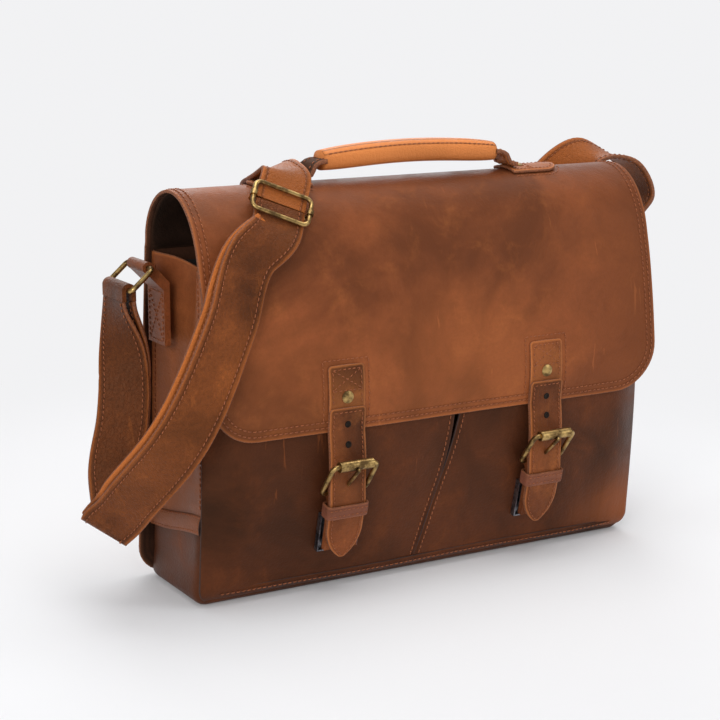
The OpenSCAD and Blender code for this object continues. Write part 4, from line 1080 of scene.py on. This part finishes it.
def keeper(side):
    word = BOTH[side > 0]
    low, high = HOLDER_N - GAP - 2, TONGUE_N + TONGUE_T + GAP + 2
    half, r = TONGUE_W / 2 + 2.5, 3.6
    flat = [(-half + 8, low)]
    corners = ((-half, low, 180, 1, 1), (-half, high, 180, 1, -1), (half, high, 90, -1, -1), (half, low, 0, -1, 1))
    for x, n, _, sx, sn in corners:
        cx, cn = x + sx * r, n + sn * r
        turn = np.linspace(0, math.pi / 2, 6)
        arc = [(cx - sx * r * math.cos(a), cn - sn * r * math.sin(a)) for a in turn]
        flat += arc if (sx * sn < 0) else arc[::-1]
    flat.append((half - 8, low))
    loop = np.array(flat)
    loop = resample(loop, 70)
    s = np.linspace(-KEEPER_H / 2, KEEPER_H / 2, 9) + KEEPER_S
    swell = 0.5 * np.cos(np.linspace(-1, 1, 9) * math.pi / 2)
    grid = np.empty((70, 9, 3))
    for i, (x, n) in enumerate(loop):
        away = 1 if n > (low + high) / 2 else -1
        for j in range(9):
            y, z = catch_point(s[j], n + away * swell[j] * 0.5)
            grid[i, j] = (side * CLOSURE_X + x, y, z)
    edge = np.minimum(s - s[0], s[-1] - s)[None, :] + 0 * grid[..., 0] + 0.8
    piece = sheet("keeper_band_" + word, grid, 1.8, [keeper_hide, edge_hide, flesh], edge=edge, tone=0.1, facing=(0, -1, 0))
    sewn(piece, "flap", replaces=(f"keeper_{word}",))
    lines = []
    for j in (2, 6):
        pts = grid[18:52, j]
        lines.append((pts, np.broadcast_to((0.0, -1.0, 0.1), pts.shape)))
    sewn(stitches("keeper_stitches_" + word, lines, pitch=3.4, length=2.5, width=0.8), "flap")


for SIDE in (-1, 1):
    tongue(SIDE)
    keeper(SIDE)

# ---- Shoulder strap ----


def ribbon(places, width, shift=0.0, slide=0.0):
    """Middle line, direction across and normal of a strap through places. shift moves it along its
    normal: one distance, or pairs of a share of the length and a distance."""
    pts = np.array([q[0] for q in places], float)
    across = unit(np.array([q[1] for q in places], float))
    at = lengths(pts)
    count = max(int(at[-1] / 3), 8)
    p, w = smooth(pts, at, count), smooth(across, at, count)
    t = unit(np.gradient(p, axis=0))
    side = unit(w - t * np.sum(w * t, 1, keepdims=True))
    n = unit(np.cross(t, side))
    if not np.isscalar(shift):
        share, off = np.array(shift).T
        shift = np.interp(np.linspace(0, 1, count), share, off)[:, None]
    return p + shift * n + slide * side, side, n


def strap(name, line, width, thick, materials, body=None, blend=None, replaces=(), rows=1, tone=0.0,
          open_ends=True, part=(0.0, 1.0), shade=0.0):
    """Flat strap with its two sewn rows on each face, along a ribbon's line. part is the stretch of its
    length that is made; shade darkens what hangs beside the bag."""
    p, side, n = line
    first, last = int(part[0] * (len(p) - 1)), int(part[1] * (len(p) - 1)) + 1
    p, side, n = p[first:last], side[first:last], n[first:last]
    s = np.linspace(-1, 1, 13)
    s = 0.85 * s + 0.15 * np.sin(s * math.pi / 2)
    p = p + 0.3 * wave(p, 23.0, 1.0)[:, None] * n
    grid = p[None] + s[:, None, None] * side[None] * width / 2 - n[None] * thick / 2
    edge = (width / 2) * (1 - np.abs(s))[:, None] + 0 * grid[..., 0]
    tones = tone + 0.18 * wave(grid, 30.0, 6.0) - shade * np.clip((p[:, 1] + 34) / 14, 0, 1)
    piece = sheet(name, grid, thick, materials, edge=edge, tone=tones, rows=rows, bulge=0.22,
                  open_ends=open_ends)
    sewn(piece, body, blend, replaces)
    lines = []
    for place in (-1, 1):
        for face in (-1, 1):
            q = p + place * side * (width / 2 - 4.2) + face * n * (thick / 2 + 0.1)
            lines.append((q, face * n))
    sewn(stitches(name + "_stitches", lines, pitch=4.1, length=3.0, width=0.85), body, blend)
    return piece


RING = np.array([215.0, 12.0, 254.0])
HANG = math.radians(41)
loop_x, loop_z = RING[0] + 23 * math.cos(HANG), RING[2] - 23 * math.sin(HANG)
LOOP_MID, LOOP_LEG = 2.3 + STRAP_T / 2, 8.0
ring_y = RING[1]
turn_x = -HALF_W - 62


def led(place, along, d):
    return (np.array(place[0]) + d * unit(np.array(along, float)), place[1])


turn_place = ((turn_x + 2, -20, 68), (-26, 20, 19))
turn_along = (0.45, -0.62, 0.64)
hang_outer = [
    ((-loop_x - LOOP_MID, ring_y, loop_z - LOOP_LEG - GAP), (0, 1, 0)),
    ((-loop_x - LOOP_MID, ring_y, loop_z - LOOP_LEG - 6), (-2, 37, 0)),
    ((-loop_x - LOOP_MID - 2, ring_y - 2, loop_z - 34), (-12, 32, 0)),
    ((-loop_x - 7, ring_y - 9, loop_z - 62), (-28, 22, 0)),
    ((-loop_x - 12, ring_y - 16, loop_z - 96), (-33, 19, 4)),
    ((-loop_x - 21, ring_y - 19, loop_z - 130), (-30, 20, 12)),
    ((turn_x - 3, -12, 76), (-27, 20, 17)),
    led(turn_place, turn_along, -6),
    led(turn_place, turn_along, -1.2)]
hang_inner = [
    ((-loop_x + LOOP_MID, ring_y, loop_z - LOOP_LEG - GAP), (0, 1, 0)),
    ((-loop_x + LOOP_MID, ring_y, loop_z - LOOP_LEG - 6), (-2, 37, 0)),
    ((-loop_x + LOOP_MID + 3, ring_y - 1, loop_z - 30), (-10, 34, 0)),
    ((-loop_x + 2.6, ring_y - 13, loop_z - 62), (-28, 22, 0)),
    ((-loop_x - 4.4, ring_y - 23, loop_z - 96), (-33, 19, 4)),
    ((-loop_x - 13, ring_y - 27, loop_z - 130), (-30, 20, 12)),
    ((turn_x + 7, -20, 96), (-28, 20, 15))]
RUN_OFF = 2 * STRAP_T + 1.4
slider_at = np.array([-131.0, flap_y(CREST_Z - 12) - 9, CREST_Z - 12])
slider_across = (-35, 11, 14.6)
slider_along = (0.46, 0.53, 0.71)


def on_flap(x, z, across_x, across_z):
    return ((x, flap_y(z) - RUN_OFF, z),
            (across_x, flap_y(z + across_z / 2) - flap_y(z - across_z / 2), across_z))


edge_place = on_flap(-FLAP_HALF + 15, HEM_Z + 89, -30, 24)
upper_place = on_flap(-FLAP_HALF + 38, FOLD_H + 6, -33, 19)
between = (np.array(turn_place[0]) + np.array(edge_place[0])) / 2 + (-2, -31, 0)
run_outer = [
    led(turn_place, turn_along, -1.0), led(turn_place, turn_along, 9),
    ((turn_x + 14, -44, 94), (-26, 18, 21)), (between, (-27, 11, 22)), edge_place, upper_place,
    led((slider_at, slider_across), slider_along, -24), led((slider_at, slider_across), slider_along, -0.6)]
RING_LEFT = ("bag", "ring_left", (-loop_x * MM, 0, (loop_z - 45) * MM), (-loop_x * MM, 0, (loop_z - 9) * MM))
FLAP_LEFT = ("bag", "flap", (-0.250, -0.030, 0.0), (-0.190, -0.085, 0.0))
over = STRAP_T + GAP
NEAR_RING = 0.12
# the turn at the bottom: half a circle round the strap's own width
turn_side = unit(np.array(turn_place[1], float))
turn_up = unit(np.array(turn_along) - turn_side * np.dot(turn_along, turn_side))
turn_out = unit(np.cross(turn_up, turn_side))
TURN_R = 2.2
turn_at = np.array(turn_place[0]) - TURN_R * turn_out
run_places = [(tuple(turn_place[0]), turn_place[1])] + run_outer[1:]


def layer(far, shift, slide, last):
    """One layer of the strap, from the ring, down, round the turn and up the front of the flap. far is 1 for
    the layer behind on the way down, which lies on top on the way up, and -1 for the other."""
    r = TURN_R + (over if far > 0 else 0)
    foot = turn_at - (TURN_R + over / 2) * turn_out
    hang = [((np.array(a[0]) + np.array(b[0])) / 2, a[1]) for a, b in zip(hang_outer[:6], hang_inner[:6])]
    apart = ((0, far * LOOP_MID), (0.4, far * over / 2), (1, far * over / 2))
    down = ribbon(hang + [(foot + 9 * turn_up, turn_place[1]), (foot, turn_place[1])], STRAP_W, apart)
    a = np.radians(np.linspace(0, 180, 17))[1:-1, None]
    out = -(turn_out * np.cos(a) + turn_up * np.sin(a))
    turn = (turn_at + r * out, np.broadcast_to(turn_side, out.shape), out)
    up = ribbon(run_places[:last], STRAP_W, shift or 0.0)
    p, side, n = (np.concatenate(q) for q in zip(down, turn, up))
    at = lengths(p)
    ease = (np.clip((at - 150) / 60, 0, 1) * np.clip((at[-1] - at) / 60, 0, 1))[:, None]
    return p + slide * ease * side, side, n


outer_line = layer(1, ((0, over), (0.82, over), (0.95, 0), (1, 0)), 0.0, 8)
inner_line = layer(-1, None, 5.0, 7)
for name, line, tone, shade, width, thick, node in (
    ("outer", outer_line, 0.06, 0.3, STRAP_W, STRAP_T, "strap_hang_left"),
    ("inner", inner_line, 0.75, 1.2, STRAP_W - 1, STRAP_T - 0.8, "strap_front_run"),
):
    for word, part, blend in (("ring", (0, NEAR_RING), RING_LEFT), ("run", (NEAR_RING, 1), FLAP_LEFT)):
        strap(f"strap_{name}_{word}", line, width, thick, STRAP, blend=blend,
              tone=tone, part=part, replaces=(node,) if word == "run" else (), shade=shade)
fold_place = ((-70, back_y(FOLD_H) + 5, FOLD_H + 1), (-31, 0, -22))
fold_along = (0.5, 0, -0.85)
crossing = [
    led((slider_at, slider_across), slider_along, 0.6), led((slider_at, slider_across), slider_along, 12),
    ((-117, CREST_Y - 22, CREST_Z + 9), (-37, 4, 8)), ((-115, CREST_Y + 2, CREST_Z + LEATHER + 8), (-36, 0, -9)),
    ((-110, CREST_Y + 30, CREST_Z + 2), (-35, 6, -13)), ((-92, back_y(FOLD_H) + 4, CREST_Z - 22), (-34, 2, -17)),
    led(fold_place, fold_along, -8), led(fold_place, fold_along, 0)]
OVER_FOLD = ("flap", "bag", (0, 0.04, 0.274), (0, 0.04, 0.256))
strap("strap_over_crest", ribbon(crossing, STRAP_W), STRAP_W, STRAP_T, STRAP, blend=OVER_FOLD,
      replaces=("strap_crossing",), tone=0.45)
back_off = STRAP_T / 2 + 2.8
rise_place = ((HALF_W - 44, back_y(FOLD_H) + 9, FOLD_H - 1), (24, 2, -30))
rise_along = (0.6, 0.1, 0.75)
back_run = [
    led(fold_place, fold_along, 0), led(fold_place, fold_along, 8),
    ((-34, back_y(FOLD_H - 26) + back_off, FOLD_H - 26), (-22, 0, -31)),
    ((14, back_y(FOLD_H - 42) + back_off, FOLD_H - 42), (-7, 0, -37)),
    ((58, back_y(FOLD_H - 42) + back_off, FOLD_H - 42), (7, 0, -37)),
    ((HALF_W - 82, back_y(FOLD_H - 26) + back_off, FOLD_H - 26), (18, 0, -34)),
    led(rise_place, rise_along, -8), led(rise_place, rise_along, 0)]
strap("strap_behind", ribbon(back_run, STRAP_W), STRAP_W, STRAP_T, STRAP, body="bag", replaces=("strap_back_run",))
arc = [
    led(rise_place, rise_along, 0), led(rise_place, rise_along, 8),
    ((HALF_W - 14, back_y(FOLD_H) + 12, CREST_Z - 18), (26, -14, -26)),
    ((HALF_W + 16, back_y(FOLD_H) - 2, CREST_Z + 2), (14, -34, -10)),
    ((HALF_W + 44, ring_y + 4, CREST_Z - 8), (2, -38, -2)),
    ((HALF_W + 54, ring_y, CREST_Z - 34), (0, -38, 0)),
    ((loop_x + LOOP_MID + 5, ring_y, loop_z + 24), (0, -38, 0)),
    ((loop_x + LOOP_MID, ring_y, loop_z + LOOP_LEG + 6), (0, -38, 0)),
    ((loop_x + LOOP_MID, ring_y, loop_z + LOOP_LEG + GAP), (0, -38, 0))]
RING_RIGHT = ("bag", "ring_right", (loop_x * MM, 0, (loop_z + 60) * MM), (loop_x * MM, 0, (loop_z + 10) * MM))
strap("strap_right_arc", ribbon(arc, STRAP_W), STRAP_W, STRAP_T, STRAP, blend=RING_RIGHT,
      replaces=("strap_arc_right",), tone=0.3)

# ---- Handle ----

GRIP_L, GRIP_W, GRIP_H = 156.0, 24.0, 18.0
HANDLE_Y = CREST_Y - 2
grip_base = CREST_Z + LEATHER + 4 + GRIP_H / 2


def grip_z(x):
    return grip_base + 4 * np.cos(np.radians(90 * x / (GRIP_L / 2)))


def grip():
    stations, sides = 60, 40
    rings, seam_at = [], []
    seam = math.radians(128)
    angles = np.linspace(0, 2 * math.pi, sides, endpoint=False)
    for x in np.linspace(-GRIP_L / 2, GRIP_L / 2, stations):
        end = abs(2 * x / GRIP_L)
        taper = 1 - 0.16 * end**6
        lump = 1 + 0.02 * math.sin(x / 9.0) + 0.015 * math.sin(x / 23.0 + 1)
        c, q = np.cos(angles), np.sin(angles)
        y = HANDLE_Y + taper * lump * GRIP_W / 2 * np.sign(c) * np.abs(c) ** 0.85
        z = grip_z(x) + taper * GRIP_H / 2 * np.sign(q) * np.abs(q) ** 0.85
        rings.append(np.stack([np.full(sides, x), y, z], 1))
        seam_at.append(np.abs(angles - seam) * 10.5 + 0.4)
    # painted light: the grip's tone is set near the light orange, for the top of the handle lit from above; the wave
    # adds random tone
    tone = 0.85 + 0.15 * wave(np.concatenate(rings), 26.0, 3.0)
    piece = closed_skin("grip_roll", rings, [trim], edge_mm=np.concatenate(seam_at), tone=tone, rows=1.0)
    sewn(piece, "handle", replaces=("handle_grip",))
    rings = np.array(rings)
    k = int(round((seam + 0.34) / (2 * math.pi) * sides))
    line = rings[1:-1, k]
    n = unit(line - np.stack([line[:, 0], np.full(len(line), HANDLE_Y), grip_z(line[:, 0])], 1))
    sewn(stitches("grip_stitches", [(line, n)]), "handle")


grip()
HANDLE_W, HANDLE_T = 22.0, 3.4
TAB_IN, TAB_L, TAB_W = GRIP_L / 2 + 14, 46.0, 28.0
foot_z = CREST_Z + LEATHER + GAP + HANDLE_T / 2
crest_at = FOLD_AT + np.interp(-HANDLE_Y, -flap_line[:, 0], lengths(flap_line))


def handle_tab(side):
    word = BOTH[side > 0]
    across = (0, side, 0)
    top = grip_z(GRIP_L / 2)
    places = [((side * (GRIP_L / 2 - 1), HANDLE_Y, top), across), ((side * (GRIP_L / 2 + 3), HANDLE_Y, top), across),
              ((side * (GRIP_L / 2 + 9), HANDLE_Y, top - 2.5), across),
              ((side * (TAB_IN - 1), HANDLE_Y, foot_z + 1.5), across), ((side * (TAB_IN + 6), HANDLE_Y, foot_z), across)]
    low = (side * (TAB_IN + 2) * MM, HANDLE_Y * MM, foot_z * MM)
    high = (side * (GRIP_L / 2) * MM, HANDLE_Y * MM, top * MM)
    strap("handle_end_" + word + "_fold", ribbon(places, HANDLE_W), HANDLE_W, HANDLE_T, TRIM,
          blend=("flap", "handle", low, high), replaces=(f"handle_end_{word}",), tone=0.3)
    r = TAB_W / 2
    x = TAB_IN + TAB_L - r + r * np.sin(np.linspace(-1, 1, 21) * math.pi / 2)
    x = np.concatenate([np.linspace(TAB_IN, TAB_IN + TAB_L - 2 * r, 6)[:-1], x])
    x = np.unique(np.clip(x, TAB_IN, TAB_IN + TAB_L - 0.05))

    def half(x, inset=0.0):
        over = np.clip(x - (TAB_IN + TAB_L - r), 0, r - inset)
        return np.sqrt(np.maximum((r - inset) ** 2 - over**2, 0.01))

    u = np.linspace(-1, 1, 15)
    H = half(x)
    grid, _ = bent(side * np.broadcast_to(x, (15, len(x))), crest_at + u[:, None] * H[None, :], LEATHER + 0.4)
    edge = np.minimum(H[None, :] * (1 - np.abs(u[:, None])), np.minimum(x - TAB_IN, TAB_IN + TAB_L - x)[None, :])
    piece = sheet("handle_tab_sheet_" + word, grid, LEATHER, TRIM, edge=edge, tone=0.15, facing=(0, 0, 1))
    sewn(piece, "flap", replaces=(f"handle_tab_{word}",))
    lines = []
    for inset, lift in ((3.0, LEATHER + 0.4), (-4.0, 0.1)):
        run = np.linspace(TAB_IN + max(inset, 0), TAB_IN + TAB_L - inset - 0.2, 60)
        for s in (-1, 1):
            over = np.clip(run - (TAB_IN + TAB_L - r), 0, r - inset)
            h = np.sqrt(np.maximum((r - inset) ** 2 - over**2, 0))
            lines.append(bent(side * run, crest_at + s * h, lift))
    box = np.linspace(0, 1, 20)
    for s in (-1, 1):
        lines.append(bent(side * (TAB_IN + 4 + 14 * box), crest_at + s * (r - 4) * (2 * box - 1), LEATHER + 0.4))
    lines.append(bent(np.full(20, side * (TAB_IN + 19.0)), crest_at + (r - 3) * (2 * box - 1), LEATHER + 0.4))
    sewn(stitches("handle_tab_stitches_" + word, lines, pitch=3.7, length=2.7, width=0.8), "flap")


for SIDE in (-1, 1):
    handle_tab(SIDE)

# ---- Ring tabs' sewing ----


def ring_tab_sewing(side):
    face = HALF_W - LEATHER + 2 * GAP + 2 * LEATHER + 0.1
    low, high = RING[2] - 60 + 3, RING[2] - 20
    lines = []
    for s in (-1, 1):
        z = np.linspace(low, high, 30)
        lines.append(np.stack([np.full(30, side * face), np.full(30, ring_y + s * 12.0), z], 1))
    y = np.linspace(ring_y - 12, ring_y + 12, 20)
    for z in (low, high):
        lines.append(np.stack([np.full(20, side * face), y, np.full(20, z)], 1))
    t = np.linspace(0, 1, 24)
    for s in (-1, 1):
        lines.append(np.stack([np.full(24, side * face), ring_y + s * 12 * (2 * t - 1), low + t * (high - low)], 1))
    lines = [(p, np.broadcast_to((float(side), 0.0, 0.0), p.shape)) for p in lines]
    sewn(stitches("ring_tab_stitches_" + BOTH[side > 0], lines, pitch=3.8, length=2.8), "bag")


for SIDE in (-1, 1):
    ring_tab_sewing(SIDE)

# ---- Stage, light and camera ----

# Brightness of the floor to the camera, and the distances over which its shading fades out
FLOOR = 0.9
NEAR_FLOOR, FAR_FLOOR = 0.3, 0.75


def stage_material():
    s = Shader("studio_floor")
    grain = s.noise(s.node("ShaderNodeTexCoord").outputs["Object"], 3.0)
    s.set(Base_Color=s.mix(grain, (0.80, 0.80, 0.81, 1), (0.83, 0.83, 0.835, 1)), Roughness=0.8)
    glow = s.node("ShaderNodeEmission", {"Color": (0.985, 0.985, 1.0, 1), "Strength": FLOOR})
    path = s.node("ShaderNodeLightPath")
    seen = s.math("MAXIMUM", path.outputs["Is Camera Ray"],
                  s.math("MAXIMUM", path.outputs["Is Glossy Ray"], path.outputs["Is Transmission Ray"]))
    place = s.node("ShaderNodeNewGeometry").outputs["Position"]
    away = s.node("ShaderNodeVectorMath", {0: place}, operation="LENGTH").outputs["Value"]
    share = s.math("MULTIPLY", seen, s.span(away, NEAR_FLOOR, FAR_FLOOR, 0.1, 1.0))
    mixed = s.node("ShaderNodeMixShader", {0: share, 1: s.bsdf.outputs[0], 2: glow.outputs[0]})
    s.tree.links.new(mixed.outputs[0], s.out.inputs[0])
    return s.material


def backdrop():
    """Floor that sweeps up into a wall far behind."""
    profile = [(-4.0, 0.0), (5.0, 0.0)]
    profile += [(5.0 + 3 * math.sin(a), 3 - 3 * math.cos(a)) for a in np.linspace(0.1, math.pi / 2, 12)]
    profile += [(8.0, 9.0)]
    # the sweep faces the camera
    turn = math.radians(-30)
    verts, faces = [], []
    for y, z in profile:
        for x in (-9.0, 9.0):
            verts.append((x * math.cos(turn) - y * math.sin(turn), x * math.sin(turn) + y * math.cos(turn), z))
    for i in range(len(profile) - 1):
        faces.append((2 * i, 2 * i + 1, 2 * i + 3, 2 * i + 2))
    mesh = bpy.data.meshes.new("studio_floor")
    mesh.from_pydata(verts, [], faces)
    mesh.materials.append(stage_material())
    mesh.polygons.foreach_set("use_smooth", np.full(len(faces), True))
    floor = bpy.data.objects.new("studio_floor", mesh)
    bpy.context.scene.collection.objects.link(floor)


backdrop()


def area_light(name, place, size, power, target=(0, 0, 0.14)):
    data = bpy.data.lights.new(name, "AREA")
    data.shape = "RECTANGLE"
    data.size, data.size_y = size
    data.energy = power
    lamp = bpy.data.objects.new(name, data)
    lamp.location = place
    lamp.rotation_euler = (Vector(target) - Vector(place)).to_track_quat("-Z", "Y").to_euler()
    bpy.context.scene.collection.objects.link(lamp)


area_light("overhead", (0.1, -0.1, 1.9), (2.0, 1.5), 27)
area_light("front_left", (-1.9, -1.7, 1.0), (1.0, 1.0), 24)
area_light("front_right", (1.6, -1.9, 1.1), (1.2, 1.2), 8)
area_light("behind", (0.6, 2.0, 1.4), (1.8, 1.0), 14)

world = bpy.data.worlds.new("studio")
bpy.context.scene.world = world
world.use_nodes = True
background = world.node_tree.nodes["Background"]
background.inputs[0].default_value = (0.96, 0.97, 1.0, 1)
background.inputs[1].default_value = 0.42

# The camera stands where the bag is seen from its left front, a little above its top
CAMERA_AT = (-0.7304, -1.2012, 0.4649)
CAMERA_AZIMUTH = math.radians(-30.13)
CAMERA_ELEVATION = math.radians(12.2)
camera_data = bpy.data.cameras.new("camera")
camera_data.sensor_width = 36
camera_data.lens = 89.1
camera = bpy.data.objects.new("camera", camera_data)
back = Vector((math.sin(CAMERA_AZIMUTH) * math.cos(CAMERA_ELEVATION),
               -math.cos(CAMERA_AZIMUTH) * math.cos(CAMERA_ELEVATION), math.sin(CAMERA_ELEVATION)))
right = Vector((math.cos(CAMERA_AZIMUTH), math.sin(CAMERA_AZIMUTH), 0))
up = back.cross(right)
camera.matrix_world = Matrix.Translation(CAMERA_AT) @ Matrix((right, up, back)).transposed().to_4x4()
bpy.context.scene.collection.objects.link(camera)
bpy.context.scene.camera = camera
bpy.context.scene.view_settings.view_transform = "Standard"
